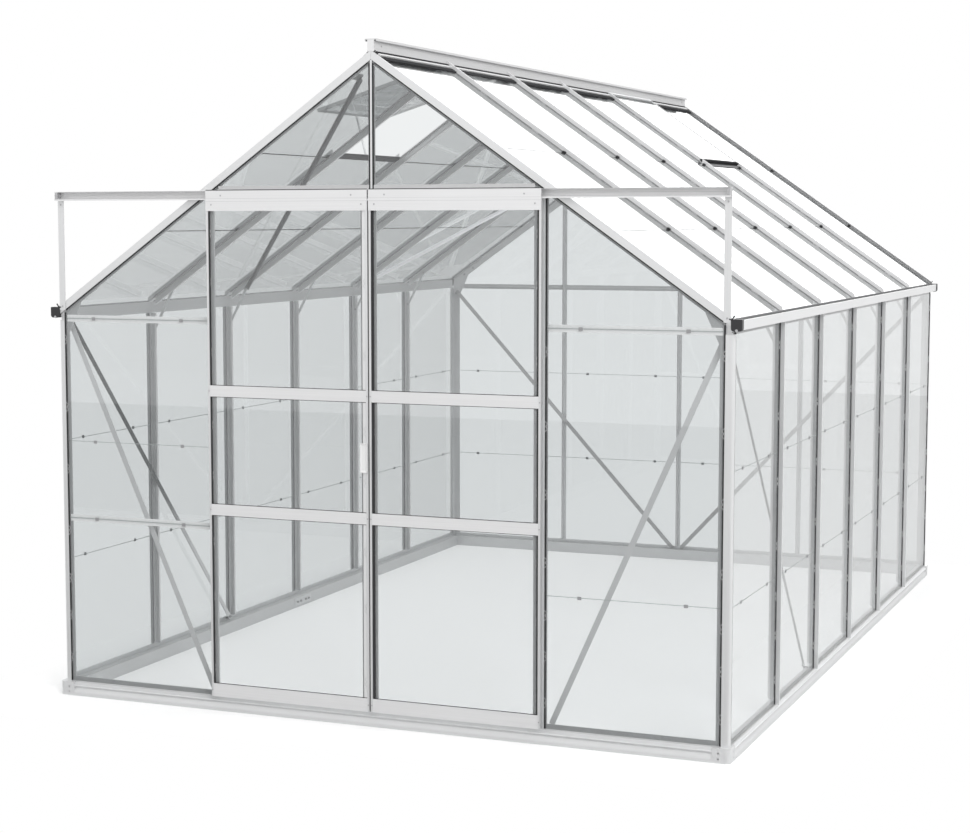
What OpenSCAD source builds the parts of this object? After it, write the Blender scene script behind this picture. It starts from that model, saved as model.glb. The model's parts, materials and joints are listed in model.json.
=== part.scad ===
// Glass greenhouse: an aluminium glazing-bar frame on a kerb, glazed in clear sheet,
// with a pair of top-hung sliding doors in the front gable and two roof vents.
// X runs across the width, Y from the doors to the rear, Z up. Millimetres.
// The origin is on the ground, in the middle of the whole outline.

/* [Kerb] */
// Outside width of the kerb
base_w = 2570; // [2200:10:3200]
// Outside length of the kerb
base_l = 3830; // [3000:10:4700]
// Height of the kerb
base_h = 50; // [44:1:64]
// Height of the kerb's upright outer face, below its sloping ledge
base_face_h = 40; // [30:1:42]
// Depth of the kerb from its outer to its inner face
base_d = 50; // [46:1:70]
// Length of each leg of a kerb corner piece
base_corner_leg = 62; // [55:1:90]
// Length of the plate that splices a long side
splice_l = 160; // [100:10:260]

/* [Walls] */
// Inset of a side wall's outer plane from the kerb's edge
side_inset = 10; // [8:1:14]
// Inset of a gable's outer plane from the kerb's edge
end_inset = 20; // [16:1:26]
// Radius of the rounded corner posts
corner_r = 20; // [18:1:32]
// Height where the roof's outer surface meets the side wall's plane
eave_z = 1449; // [1300:1:1600]
// Number of glazing bays along each side
bays = 6; // [4:1:8]
// Distance between the centres of the two door posts
doorway_w = 1260; // [1100:10:1400]
// Height of the lower glass joint in the walls
low_joint_z = 507; // [400:1:560]
// Height of the upper glass joint in the walls
high_joint_z = 954; // [840:1:1060]
// Height of the tie bars in the gables
tie_z = 1421; // [1200:1:1430]
// Height of the short bar in the left front panel
cross_bar_z = 668; // [600:1:760]

/* [Roof] */
// Pitch of both slopes in degrees
roof_pitch = 35; // [30:0.5:40]
// Height of the ridge cap's top above the apex of the roof's outer surface
ridge_rise = 38.2; // [36:0.2:60]
// Slope distance from the apex to the upper glass joint
roof_joint_1 = 580; // [540:1:640]
// Slope distance from the apex to the lower glass joint
roof_joint_2 = 1060; // [1000:1:1120]
// Width of the gutter's trough
gutter_w = 31; // [24:1:40]
// Depth of the gutter's trough
gutter_h = 32; // [26:1:40]

/* [Glazing bars] */
// Width of a bar's flange, which the glass lies on
flange_w = 25; // [18:1:34]
// Thickness of the bars' flanges and webs
bar_t = 2.4; // [1.8:0.1:3.2]
// Width of a bar's outer nib, between two sheets of glass
nib_w = 7; // [5:0.5:10]
// Height of the nib above the flange
nib_h = 6; // [4.5:0.5:8]
// Height of the fin that stands out past the nib of a wall bar or a roof bar
fin_h = 14; // [4:0.5:14]
// Depth of a bar's inner web
stem_d = 22; // [16:1:32]
// Thickness of the glass
glass_t = 3; // [3:0.5:4]
// Height of the sill bar on the kerb
sill_h = 18; // [14:1:28]

/* [Doors] */
// Height of the top of the door rail
door_top_z = 1870; // [1820:1:1900]
// Gap between the kerb and the bottom of the doors
door_lift = 5; // [5:1:10]
// Clear gap between the two closed doors
door_gap = 5; // [5:1:8]
// Clear gap between the front wall's plane and the doors
leaf_gap = 12; // [10:1:18]
// Depth of a door's frame
leaf_d = 19; // [16:1:24]
// Width of a door's stiles
stile_w = 27; // [22:1:36]
// Height of a door's kick rail
kick_h = 48; // [36:1:80]
// Height of a door's two middle rails
mid_rail_h = 40; // [30:1:54]
// Height of the centre of the lower middle rail
low_rail_z = 736; // [640:1:800]
// Height of the centre of the upper middle rail
high_rail_z = 1162; // [1040:1:1240]
// Height of the plate that hides a door's wheels
header_h = 72; // [66:1:90]
// Height of the door rail's channel
rail_h = 32; // [30:1:40]
// Inset of the door rail's ends from the side walls' outer planes
rail_inset = 10; // [4:1:30]
// Radius of the door wheels
wheel_r = 9; // [7:0.5:10]
// Height of the door handle
handle_h = 102; // [80:1:160]

/* [Vents] */
// Slope length of a vent's frame
vent_l = 530; // [440:10:540]
// Angle at which the left vent stands open
vent_open = 18; // [10:1:40]

/* [Hidden] */
$fn = 48;

// Colours of the finishes
metal_colour = [0.80, 0.81, 0.82];
kerb_colour = [0.84, 0.85, 0.85];
glass_colour = [0.80, 0.87, 0.88, 0.4];
cap_colour = [0.08, 0.08, 0.09];
handle_colour = [0.93, 0.93, 0.93];

// Doors stand proud of the kerb, so the outline's middle is in front of the kerb's middle
handle_d = 14;
overhang = leaf_gap + leaf_d + handle_d - end_inset;
mid_y = overhang / 2;
kerb_front_y = mid_y - base_l / 2;

// Outer planes: side walls at x = +-wall_x, gables at wall_f and wall_r
wall_x = base_w / 2 - side_inset;
wall_f = kerb_front_y + end_inset;
wall_l = base_l - 2 * end_inset;
wall_r = wall_f + wall_l;
bay = (wall_l - 2 * corner_r) / bays;
function bar_y(i) = wall_f + corner_r + i * bay;

// Depths inward from a wall's outer plane
flange_in = nib_h + bar_t;
stem_in = flange_in + stem_d;
pane_out = nib_h - glass_t;
sill_top = base_h + sill_h;
half_nib = nib_w / 2;
half_flange = flange_w / 2;
pane_gap = 1;
corner_nib = corner_r + nib_w;
corner_flange = corner_nib + (flange_w - nib_w) / 2;
edge_flange = nib_w + (flange_w - nib_w) / 2;

// Roof: heights from the distance to the centre line and the offset below the outer surface
apex_z = eave_z + wall_x * tan(roof_pitch);
ridge_z = apex_z + ridge_rise;
function roof_z(x, n = 0) = apex_z - x * tan(roof_pitch) + n / cos(roof_pitch);
function slope_x(s) = s * cos(roof_pitch);
rafter_face = 25;
rafter_n = rafter_face + edge_flange - nib_w + bar_t;
ridge_half = 12.5;
ridge_t = 2.5;
ridge_flange = 22;
ridge_drop = 24;
ridge_joint_y = bar_y(4);
roof_overlap = 3;
// Clearance under what lies on a sloping bar
bed = 0.1;

// Eave beam and gutter
trough_floor = eave_z - 35;
web_bottom = trough_floor - 14;
gutter_t = 2;
gutter_lip = 6;
trough_top = trough_floor + gutter_h;
cap_t = 5;

// Braces: flat strips bolted to the bars' webs, with studs where a flange carries them
brace_w = 20;
brace_t = 2;
stud_r = 4;
brace_foot_z = base_h + 12;
gusset_t = 2;
gusset_foot = 42;
// Depth of a corner post's rounded wall where it passes the gusset plate
post_wall_in = corner_r - sqrt(pow(corner_r - bar_t, 2) - pow(corner_r - flange_in, 2));
tie_stem_x1 = wall_x - 80;

// Doors
leaf_back = wall_f - leaf_gap;
leaf_front = leaf_back - leaf_d;
header_t = 2.5;
door_w = (doorway_w - door_gap) / 2;
door_z0 = base_h + door_lift;
rail_z0 = door_top_z - rail_h;
door_z1 = rail_z0 - 5;
rail_x = wall_x - rail_inset;
rail_d = leaf_gap + leaf_d - 5;
rail_t = 2;
rail_lip = 5;
door_nib = 8;
door_pane_out = 4;
door_flange_in = door_pane_out + glass_t;
wheel_x = 60;
wheel_t = 7;
axle_r = 3;
wheel_gap = 0.3;
wheel_z = rail_z0 + rail_t + wheel_gap + wheel_r;

// Vents: a left vent in bay 1 stands open, a right vent in bay 4 is shut
left_vent_bay = 1;
right_vent_bay = 4;
hinge_r = 4;
hinge_x = ridge_half + hinge_r + 0.3;
vent_lift = 6;
hinge_z = roof_z(hinge_x, vent_lift);
vent_t = 12;
vent_bar_w = 22;
vent_side_gap = 1;
sill_s = roof_joint_1 - 24;
fin_below_vent = hinge_x + slope_x(vent_l) + vent_t;

module block(x, y, z) {
    translate([x[0], y[0], z[0]])
        cube([x[1] - x[0], y[1] - y[0], z[1] - z[0]]);
}

module at_left() {
    mirror([1, 0, 0]) children();
}

module both_sides() {
    children();
    at_left() children();
}

module at_rear() {
    translate([0, 2 * mid_y, 0]) mirror([0, 1, 0]) children();
}

module both_ends() {
    children();
    at_rear() children();
}

// An outline in X and Z, run along Y
module run_y(y) {
    translate([0, y[1], 0]) rotate([90, 0, 0]) linear_extrude(y[1] - y[0]) children();
}

// An outline in Y and Z, run along X
module run_x(x) {
    translate([x[0], 0, 0]) rotate([90, 0, 90]) linear_extrude(x[1] - x[0]) children();
}

// A layer of the right-hand slope between two offsets below its outer surface
module slope_layer(x, n, y) {
    run_y(y) polygon([
        [x[0], roof_z(x[0], n[0])], [x[1], roof_z(x[1], n[0])],
        [x[1], roof_z(x[1], n[1])], [x[0], roof_z(x[0], n[1])]
    ]);
}

// A straight strip in a plane, from one point to another
module strip(from, to, width) {
    run = to - from;
    translate(from) rotate(atan2(run[1], run[0]))
        translate([0, -width / 2]) square([norm(run), width]);
}

// ---- Kerb ----

function kerb_outline(ledge) = [
    [0, 0], [0, base_face_h], [ledge, base_h - 2], [ledge, base_h],
    [base_d, base_h], [base_d, 0]
];

module kerb_front() {
    color(kerb_colour)
        translate([0, kerb_front_y, 0])
            run_x([base_corner_leg - base_w / 2, base_w / 2 - base_corner_leg])
                polygon(kerb_outline(end_inset - 2));
}

module kerb_rear() {
    at_rear() kerb_front();
}

module kerb_right() {
    outline = [for (p = kerb_outline(side_inset - 2)) [base_w / 2 - p[0], p[1]]];
    y0 = kerb_front_y + base_corner_leg;
    y1 = 2 * mid_y - y0;
    color(kerb_colour) {
        run_y([y0, mid_y - 0.25]) polygon(outline);
        run_y([mid_y + 0.25, y1]) polygon(outline);
    }
}

module kerb_left() {
    at_left() kerb_right();
}

module kerb_corner() {
    leg = base_corner_leg;
    translate([base_w / 2, kerb_front_y, 0]) linear_extrude(base_h) difference() {
        union() {
            translate([-leg, 0]) square([leg - corner_r, leg]);
            translate([-leg, corner_r]) square([leg, leg - corner_r]);
            translate([-corner_r, corner_r]) circle(corner_r);
        }
        translate([-leg - 1, base_d]) square([leg + 1 - base_d, leg]);
    }
}

module kerb_corners() {
    color(kerb_colour) both_ends() both_sides() kerb_corner();
}

module kerb_splices() {
    x1 = base_w / 2 - base_d;
    color(metal_colour) both_sides()
        block([x1 - 2, x1], [mid_y - splice_l / 2, mid_y + splice_l / 2], [8, base_h - 8]);
}

// ---- Walls ----

// An angle: an upright web under the glass and a foot on the kerb
module sill_section() {
    polygon([
        [nib_h, base_h], [nib_h, sill_top], [flange_in, sill_top],
        [flange_in, base_h + bar_t], [stem_in, base_h + bar_t], [stem_in, base_h]
    ]);
}

module sill_bars() {
    side_y = [wall_f + corner_flange, wall_r - corner_flange];
    end_x = wall_x - corner_flange;
    color(metal_colour) {
        both_sides() translate([wall_x, 0, 0]) mirror([1, 0, 0]) run_y(side_y) sill_section();
        both_sides() translate([0, wall_f, 0])
            run_x([doorway_w / 2 - half_flange, end_x]) sill_section();
        at_rear() translate([0, wall_f, 0]) run_x([-end_x, end_x]) sill_section();
    }
}

// Rounded outer corner with a nib, a flange and the glass seat of each wall
module corner_section() {
    intersection() {
        difference() {
            circle(corner_r);
            circle(corner_r - bar_t);
        }
        translate([0, -corner_r]) square(corner_r);
    }
    translate([-nib_w, -corner_r]) square([nib_w, nib_h]);
    translate([-corner_flange + corner_r, nib_h - corner_r])
        square([corner_flange - corner_r, bar_t]);
    translate([corner_r - nib_h, 0]) square([nib_h, nib_w]);
    translate([corner_r - flange_in, 0]) square([bar_t, corner_flange - corner_r]);
}

module corner_posts() {
    color(metal_colour) both_ends() both_sides()
        translate([wall_x - corner_r, wall_f + corner_r, base_h])
            linear_extrude(web_bottom - base_h) corner_section();
}

module side_bar(y) {
    block([wall_x - nib_h, wall_x + fin_h], [y - half_nib, y + half_nib],
          [base_h, trough_floor]);
    block([wall_x - flange_in, wall_x - nib_h], [y - half_flange, y + half_flange],
          [sill_top, web_bottom]);
    block([wall_x - stem_in, wall_x - flange_in], [y - bar_t / 2, y + bar_t / 2],
          [sill_top, web_bottom]);
}

module right_wall_bars() {
    color(metal_colour) for (i = [1 : bays - 1]) side_bar(bar_y(i));
}

module left_wall_bars() {
    at_left() right_wall_bars();
}

// An upright of a gable, on its centre line x, from z0 up to the rafters
module gable_post(x, z0, nib_z0) {
    reach = abs(x) + half_flange;
    top = roof_z(reach, -rafter_n);
    block([x - half_nib, x + half_nib], [wall_f, wall_f + nib_h],
          [nib_z0, roof_z(abs(x) + half_nib, -rafter_face)]);
    block([x - half_flange, x + half_flange], [wall_f + nib_h, wall_f + flange_in], [z0, top]);
    block([x - bar_t / 2, x + bar_t / 2], [wall_f + flange_in, wall_f + stem_in], [z0, top]);
}

module front_posts() {
    color(metal_colour) {
        both_sides() gable_post(doorway_w / 2, sill_top, base_h);
        gable_post(0, head_z1, head_z1);
    }
}

module rear_posts() {
    color(metal_colour) at_rear() {
        both_sides() gable_post(doorway_w / 2, sill_top, base_h);
        gable_post(0, sill_top, base_h);
    }
}

// A crosswise bar of a gable: a flange under the glass and a web inward
module cross_bar(x, z, stem_x1) {
    block(x, [wall_f + nib_h, wall_f + flange_in], [z - half_flange, z + half_flange]);
    block([x[0], stem_x1], [wall_f + flange_in, wall_f + stem_in],
          [z - bar_t / 2, z + bar_t / 2]);
}

panel_x = [doorway_w / 2 + half_flange, wall_x - corner_flange];
// The head bar behind the door rail stops under the rafters
head_x = doorway_w / 2 - half_flange;
head_z1 = min(door_top_z, roof_z(head_x, -rafter_n)) - 0.3;

module front_cross_bars() {
    color(metal_colour) {
        both_sides() cross_bar(panel_x, tie_z - half_flange, tie_stem_x1);
        at_left() cross_bar(panel_x, cross_bar_z, panel_x[1]);
        block([-head_x, head_x], [wall_f + nib_h, wall_f + flange_in], [rail_z0, head_z1]);
    }
}

module rear_cross_bars() {
    color(metal_colour) at_rear() both_sides() {
        cross_bar(panel_x, tie_z - half_flange, tie_stem_x1);
        cross_bar([half_flange, doorway_w / 2 - half_flange], tie_z - half_flange,
                  doorway_w / 2 - half_flange);
    }
}

// ---- Roof ----

// The edge bar of a gable: a face, a nib, and a glass seat for the roof and for the gable
module rafter() {
    mitre = 0.25;
    foot = wall_x - flange_in;
    slope_layer([mitre, foot], [-rafter_face, -nib_h], [wall_f, wall_f + bar_t]);
    slope_layer([mitre, wall_x + roof_overlap], [-nib_h, 0], [wall_f, wall_f + nib_w]);
    slope_layer([mitre, foot], [-flange_in, -nib_h], [wall_f + bar_t, wall_f + edge_flange]);
    slope_layer([mitre, foot], [-rafter_n, -flange_in], [wall_f + nib_h, wall_f + flange_in]);
}

module gable_rafters() {
    color(metal_colour) both_ends() both_sides() rafter();
}

// Half of the ridge beam's section, on the right of the centre line
module ridge_half_section() {
    translate([0, ridge_z - 3]) square([ridge_flange, 3]);
    translate([ridge_flange - 2, ridge_z - 8]) square([2, 5]);
    translate([ridge_half - ridge_t, apex_z]) square([ridge_t, ridge_z - 3 - apex_z]);
}

module ridge_skirt_section() {
    translate([ridge_half - ridge_t, apex_z - ridge_drop]) square([ridge_t, ridge_drop]);
}

module ridge_length(y, skirt_y) {
    run_y(y) {
        ridge_half_section();
        mirror([1, 0]) ridge_half_section();
    }
    run_y(skirt_y) {
        ridge_skirt_section();
        mirror([1, 0]) ridge_skirt_section();
    }
}

module ridge_beam() {
    clear = edge_flange;
    color(metal_colour) {
        ridge_length([wall_f, ridge_joint_y - 0.25], [wall_f + clear, ridge_joint_y - 0.25]);
        ridge_length([ridge_joint_y + 0.25, wall_r], [ridge_joint_y + 0.25, wall_r - clear]);
    }
}

// A roof bar's web stops above the web of the wall bar, and its fin starts below a vent
module roof_bar(y, fin_x) {
    slope_layer([ridge_half, wall_x + roof_overlap], [-nib_h, 0], [y - half_nib, y + half_nib]);
    slope_layer([fin_x, wall_x + roof_overlap], [0, fin_h], [y - half_nib, y + half_nib]);
    slope_layer([ridge_half, wall_x + roof_overlap], [-flange_in, -nib_h],
                [y - half_flange, y + half_flange]);
    slope_layer([ridge_half, wall_x - stem_in], [-stem_in, -flange_in],
                [y - bar_t / 2, y + bar_t / 2]);
}

module roof_bars(vent_bay) {
    color(metal_colour) for (i = [1 : bays - 1])
        roof_bar(bar_y(i), i == vent_bay || i == vent_bay + 1 ? fin_below_vent : ridge_half);
}

module right_roof_bars() {
    roof_bars(right_vent_bay);
}

module left_roof_bars() {
    at_left() roof_bars(left_vent_bay);
}

// The eave: a beam inside the wall's plane, and a gutter floor and face outside it
eave_inner = wall_x - flange_in;
eave_outer = wall_x - nib_h;
gutter_edge = eave_outer + gutter_w;

module along_eaves() {
    both_sides() run_y([wall_f + edge_flange, wall_r - edge_flange]) children();
}

module eave_beams() {
    color(metal_colour) along_eaves() polygon([
        [eave_inner, web_bottom], [eave_outer, web_bottom],
        [eave_outer, roof_z(eave_outer, -flange_in - bed)],
        [eave_inner, roof_z(eave_inner, -flange_in - bed)]
    ]);
}

module gutter_floors() {
    color(metal_colour) along_eaves() translate([eave_outer, trough_floor])
        square([gutter_w - gutter_t, gutter_t]);
}

// The face has a lip turned in at its top
module gutter_faces() {
    color(metal_colour) along_eaves() {
        translate([gutter_edge - gutter_t, trough_floor]) square([gutter_t, gutter_h]);
        translate([gutter_edge - gutter_lip, trough_top - gutter_t])
            square([gutter_lip, gutter_t]);
    }
}

// A cap has a plate before the gable and a body past the end of the roof bars
module gutter_end_caps() {
    x1 = gutter_edge + 3;
    z = [trough_floor - 4, trough_top + 3];
    color(cap_colour) both_ends() both_sides() {
        block([rail_x + 1, x1], [wall_f - cap_t, wall_f], z);
        block([wall_x + roof_overlap + 1, x1], [wall_f, wall_f + edge_flange], z);
    }
}

// ---- Braces ----

// A plate in each corner of a gable, with one arm up the rafter and one down the post
module gusset() {
    x1 = wall_x - max(flange_in, post_wall_in) - 1;
    tip = wall_x - 167;
    bend = wall_x - 98;
    z1 = web_bottom - gusset_foot;
    run_y([wall_f + flange_in, wall_f + flange_in + gusset_t]) polygon([
        [x1, roof_z(x1, -flange_in - 4)], [tip, roof_z(tip, -flange_in - 4)],
        [tip, roof_z(tip, -rafter_n - 2)], [bend, roof_z(bend, -rafter_n - 2)],
        [bend + 15, web_bottom + 38], [x1 - 36, z1], [x1, z1]
    ]);
}

module gusset_plates() {
    color(metal_colour) both_ends() both_sides() gusset();
}

// A knee from a wall bar's web to a roof bar's web, on the side away from the roof braces
module knee_brace(i) {
    side = i > bays / 2 ? -1 : 1;
    mid = bar_y(i) + side * (bar_t + brace_t) / 2;
    low = [wall_x - stem_in + 8, web_bottom - 67];
    high_x = wall_x - 112;
    high = [high_x, roof_z(high_x, -stem_in + 8)];
    run_y([mid - brace_t / 2, mid + brace_t / 2]) strip(low, high, 11);
}

module knee_braces() {
    color(metal_colour) both_sides() for (i = [1 : bays - 1]) knee_brace(i);
}

// A strip behind a gable's uprights, from a foot on the sill up to the gusset plate
module gable_brace(foot_x) {
    foot = [foot_x, brace_foot_z];
    top = [wall_x - 38, web_bottom - 18];
    run_y([wall_f + stem_in, wall_f + stem_in + brace_t]) strip(foot, top, brace_w);
    run_y([wall_f + flange_in, wall_f + stem_in]) translate(foot) circle(stud_r);
    run_y([wall_f + flange_in + gusset_t, wall_f + stem_in]) translate(top) circle(stud_r);
}

module gable_braces() {
    color(metal_colour) {
        both_sides() gable_brace(doorway_w / 2 + 21);
        at_rear() both_sides() gable_brace(24);
    }
}

module side_wall_braces() {
    top = [wall_f + 34, web_bottom + 6];
    foot = [bar_y(2) - 46, brace_foot_z];
    color(metal_colour) both_sides() {
        run_x([wall_x - stem_in - brace_t, wall_x - stem_in]) strip(top, foot, brace_w);
        run_x([wall_x - stem_in, wall_x - flange_in])
            for (end = [top, foot]) translate(end) circle(stud_r);
    }
}

// Turns children laid out in distance down the slope and Y to lie under the right-hand slope
module under_slope(n, t) {
    translate([0, 0, apex_z]) rotate([0, roof_pitch, 0]) translate([0, 0, n - t])
        linear_extrude(t) children();
}

// A strip with its ends cut crosswise
module cut_strip(low, high, half) {
    polygon([low - [half, 0], low + [half, 0], high + [half, 0], high - [half, 0]]);
}

// A T bar under the roof bars, from the eave up to the gable's rafter near the ridge
module roof_brace(bar) {
    low = [(wall_x - 84) / cos(roof_pitch), bar_y(bar)];
    high = [105, wall_f + 62];
    run = low - high;
    half = brace_w / 2 * norm(run) / run[1];
    under_slope(-stem_in, brace_t) {
        cut_strip(low, high, half);
        translate([high[0] - half, wall_f + flange_in])
            square([2 * half, high[1] - wall_f - flange_in]);
    }
    under_slope(-stem_in - brace_t, 14) cut_strip(low, high, brace_t / 2);
}

module roof_braces() {
    color(metal_colour) both_ends() both_sides() roof_brace(2);
}

// ---- Door rail ----

module door_rail() {
    y1 = wall_f;
    y0 = wall_f - rail_d;
    color(metal_colour) run_x([-rail_x, rail_x]) polygon([
        [y1, rail_z0], [y1, door_top_z], [y0 + 6, door_top_z], [y0 + 6, door_top_z - rail_t],
        [y1 - rail_t, door_top_z - rail_t], [y1 - rail_t, rail_z0 + rail_t],
        [y0 + rail_t, rail_z0 + rail_t], [y0 + rail_t, rail_z0 + rail_lip],
        [y0, rail_z0 + rail_lip], [y0, rail_z0]
    ]);
}

module rail_struts() {
    color(metal_colour) both_sides()
        block([rail_x - 24, rail_x], [wall_f - 3, wall_f], [trough_top - 8, rail_z0]);
}

// ---- Fixed glass ----

// Heights of the three sheets in a wall, one above another
wall_panes = [
    [base_h + 2, low_joint_z - pane_gap],
    [low_joint_z + pane_gap, high_joint_z - pane_gap],
    [high_joint_z + pane_gap, trough_floor - 3]
];

// Distances from the centre line of the three sheets in a slope
slope_panes = [
    [ridge_half + pane_gap, slope_x(roof_joint_1) - pane_gap],
    [slope_x(roof_joint_1) + pane_gap, slope_x(roof_joint_2) - pane_gap],
    [slope_x(roof_joint_2) + pane_gap, wall_x + roof_overlap]
];

function bay_glass(i) = [bar_y(i) + half_nib + pane_gap, bar_y(i + 1) - half_nib - pane_gap];

// The end bays stop at the corner posts' and the rafters' nibs
function end_glass(i, edge) = [
    i == 0 ? wall_f + edge + pane_gap : bay_glass(i)[0],
    i == bays - 1 ? wall_r - edge - pane_gap : bay_glass(i)[1]
];

module right_wall_glass() {
    color(glass_colour) for (i = [0 : bays - 1], z = wall_panes)
        block([wall_x - nib_h, wall_x - pane_out], end_glass(i, corner_nib), z);
}

module left_wall_glass() {
    at_left() right_wall_glass();
}

module roof_glass(vent_bay) {
    color(glass_colour) for (i = [0 : bays - 1], k = [0 : 2])
        if (!(i == vent_bay && k == 0))
            slope_layer(slope_panes[k], [bed - nib_h, bed - pane_out], end_glass(i, nib_w));
}

module right_roof_glass() {
    roof_glass(right_vent_bay);
}

module left_roof_glass() {
    at_left() roof_glass(left_vent_bay);
}

gable_pane_y = [wall_f + pane_out, wall_f + nib_h];
outer_pane_x = [doorway_w / 2 + half_nib + pane_gap, wall_x - corner_nib - pane_gap];
inner_pane_x = [half_nib + pane_gap, doorway_w / 2 - half_nib - pane_gap];
gable_glass_n = -rafter_face - 2;

// A sheet of a gable whose top follows the rafter
module gable_pane(x, z0) {
    run_y(gable_pane_y) polygon([
        [x[0], z0], [x[1], z0],
        [x[1], roof_z(x[1], gable_glass_n)], [x[0], roof_z(x[0], gable_glass_n)]
    ]);
}

tie_joint_z = tie_z - half_flange;

module front_glass() {
    low = base_h + 2;
    color(glass_colour) {
        both_sides() gable_pane(outer_pane_x, tie_joint_z + pane_gap);
        both_sides() gable_pane(inner_pane_x, head_z1 - 6);
        block(outer_pane_x, gable_pane_y, [low, tie_joint_z - pane_gap]);
        at_left() {
            block(outer_pane_x, gable_pane_y, [low, cross_bar_z - pane_gap]);
            block(outer_pane_x, gable_pane_y, [cross_bar_z + pane_gap, tie_joint_z - pane_gap]);
        }
    }
}

module rear_glass() {
    rows = [wall_panes[0], wall_panes[1], [wall_panes[2][0], tie_joint_z - pane_gap]];
    color(glass_colour) at_rear() both_sides() {
        for (x = [inner_pane_x, outer_pane_x]) {
            for (z = rows) block(x, gable_pane_y, z);
            gable_pane(x, tie_joint_z + pane_gap);
        }
    }
}

// ---- Vents ----

// Right-hand vents are drawn in place, with the hinge line as the local origin
module on_hinge(i, angle) {
    translate([hinge_x, bar_y(i), hinge_z]) rotate([0, roof_pitch - angle, 0]) children();
}

vent_side = half_nib - vent_side_gap;
vent_y = [-vent_side, bay + vent_side];
vent_s0 = hinge_r - 1;
vent_z = [bed - vent_lift, vent_t - vent_lift];

module vent_frame(i, angle) {
    on_hinge(i, angle) {
        translate([0, vent_y[0], 0]) rotate([-90, 0, 0])
            cylinder(r = hinge_r, h = vent_y[1] - vent_y[0]);
        difference() {
            block([vent_s0, vent_l], vent_y, vent_z);
            block([vent_s0 + vent_bar_w, vent_l - vent_bar_w],
                  [vent_y[0] + vent_bar_w, vent_y[1] - vent_bar_w],
                  [vent_z[0] - 1, vent_z[1] + 1]);
            block([vent_s0 + 10, vent_l + 1], [vent_y[0] + 6, vent_y[1] - 6],
                  [vent_z[1] - glass_t - 2, vent_z[1] + 1]);
        }
    }
}

module vent_sheet(i, angle) {
    top = vent_z[1] - 2;
    on_hinge(i, angle)
        block([vent_s0 + 11, vent_l], [vent_y[0] + 7, vent_y[1] - 7], [top - glass_t, top]);
}

module vent_frames() {
    color(metal_colour) {
        at_left() vent_frame(left_vent_bay, vent_open);
        vent_frame(right_vent_bay, 0);
    }
}

module vent_glass() {
    color(glass_colour) {
        at_left() vent_sheet(left_vent_bay, vent_open);
        vent_sheet(right_vent_bay, 0);
    }
}

module vent_sill(i) {
    x = [slope_x(sill_s), slope_x(roof_joint_1) - pane_gap];
    slope_layer(x, [-flange_in, -nib_h], [bar_y(i) + half_flange, bar_y(i + 1) - half_flange]);
    slope_layer(x, [-nib_h, -1], [bar_y(i) + half_nib + pane_gap,
                bar_y(i + 1) - half_nib - pane_gap]);
}

module vent_sills() {
    color(metal_colour) {
        at_left() vent_sill(left_vent_bay);
        vent_sill(right_vent_bay);
    }
}

// A point of the open vent's underside, at a distance from its hinge
function vent_point(s, angle) = [
    hinge_x + s * cos(roof_pitch - angle) - vent_lift * sin(roof_pitch - angle),
    hinge_z - s * sin(roof_pitch - angle) - vent_lift * cos(roof_pitch - angle)
];

module vent_stays() {
    mid_left = bar_y(left_vent_bay) + bay / 2;
    foot = [slope_x(sill_s + 12), roof_z(slope_x(sill_s + 12))];
    color(metal_colour) {
        at_left() run_y([mid_left - 6, mid_left + 6])
            strip(foot, vent_point(vent_l - 14, vent_open) - [0, 2], 3);
        on_hinge(right_vent_bay, 0)
            block([vent_l - 300, vent_l - 4], [bay / 2 - 6, bay / 2 + 6],
                  [vent_z[0] - 3, vent_z[0]]);
    }
}

// ---- Doors ----
// A door is drawn with its meeting edge at x = 0 and its outer edge at x = door_w

// Local door space, for the door on the right
module place_door() {
    translate([door_gap / 2, 0, 0]) children();
}

flange_y = [leaf_front + door_flange_in, leaf_front + door_flange_in + 3];

module door_stiles() {
    for (edge = [0, 1])
        translate([edge * door_w, 0, 0]) mirror([edge, 0, 0]) {
            block([0, door_nib], [leaf_front, leaf_back], [door_z0, door_z1]);
            block([door_nib, stile_w], flange_y, [door_z0, door_z1]);
        }
}

module door_rail_bar(z) {
    block([door_nib, door_w - door_nib], [leaf_front, flange_y[0]], z);
    block([stile_w, door_w - stile_w], flange_y, z);
}

door_rows = [
    [door_z0, door_z0 + kick_h],
    [low_rail_z - mid_rail_h / 2, low_rail_z + mid_rail_h / 2],
    [high_rail_z - mid_rail_h / 2, high_rail_z + mid_rail_h / 2],
    [door_z1 - 26, door_z1]
];

module door_rails() {
    for (z = door_rows) door_rail_bar(z);
}

module door_header() {
    block([0, door_w], [leaf_front - header_t, leaf_front],
          [door_top_z + 1 - header_h, door_top_z + 1]);
}

module door_glass() {
    for (k = [0 : 2])
        block([door_nib + pane_gap, door_w - door_nib - pane_gap],
              [flange_y[0] - glass_t, flange_y[0]], [door_rows[k][1], door_rows[k + 1][0]]);
}

module door_wheels() {
    wheel_y = wall_f - rail_t - 8;
    for (x = [wheel_x, door_w - wheel_x])
        translate([x, wheel_y, wheel_z]) rotate([90, 0, 0]) {
            cylinder(r = wheel_r, h = wheel_t);
            cylinder(r = axle_r, h = wheel_y - leaf_front);
        }
}

module door_handle() {
    mid = (low_rail_z + high_rail_z) / 2;
    block([0, stile_w - 2], [leaf_front - handle_d, leaf_front],
          [mid - handle_h / 2, mid + handle_h / 2]);
}

module right_door_stiles() { color(metal_colour) place_door() door_stiles(); }
module right_door_rails() { color(metal_colour) place_door() door_rails(); }
module right_door_header() { color(metal_colour) place_door() door_header(); }
module right_door_glass() { color(glass_colour) place_door() door_glass(); }
module right_door_wheels() { color(cap_colour) place_door() door_wheels(); }

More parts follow.
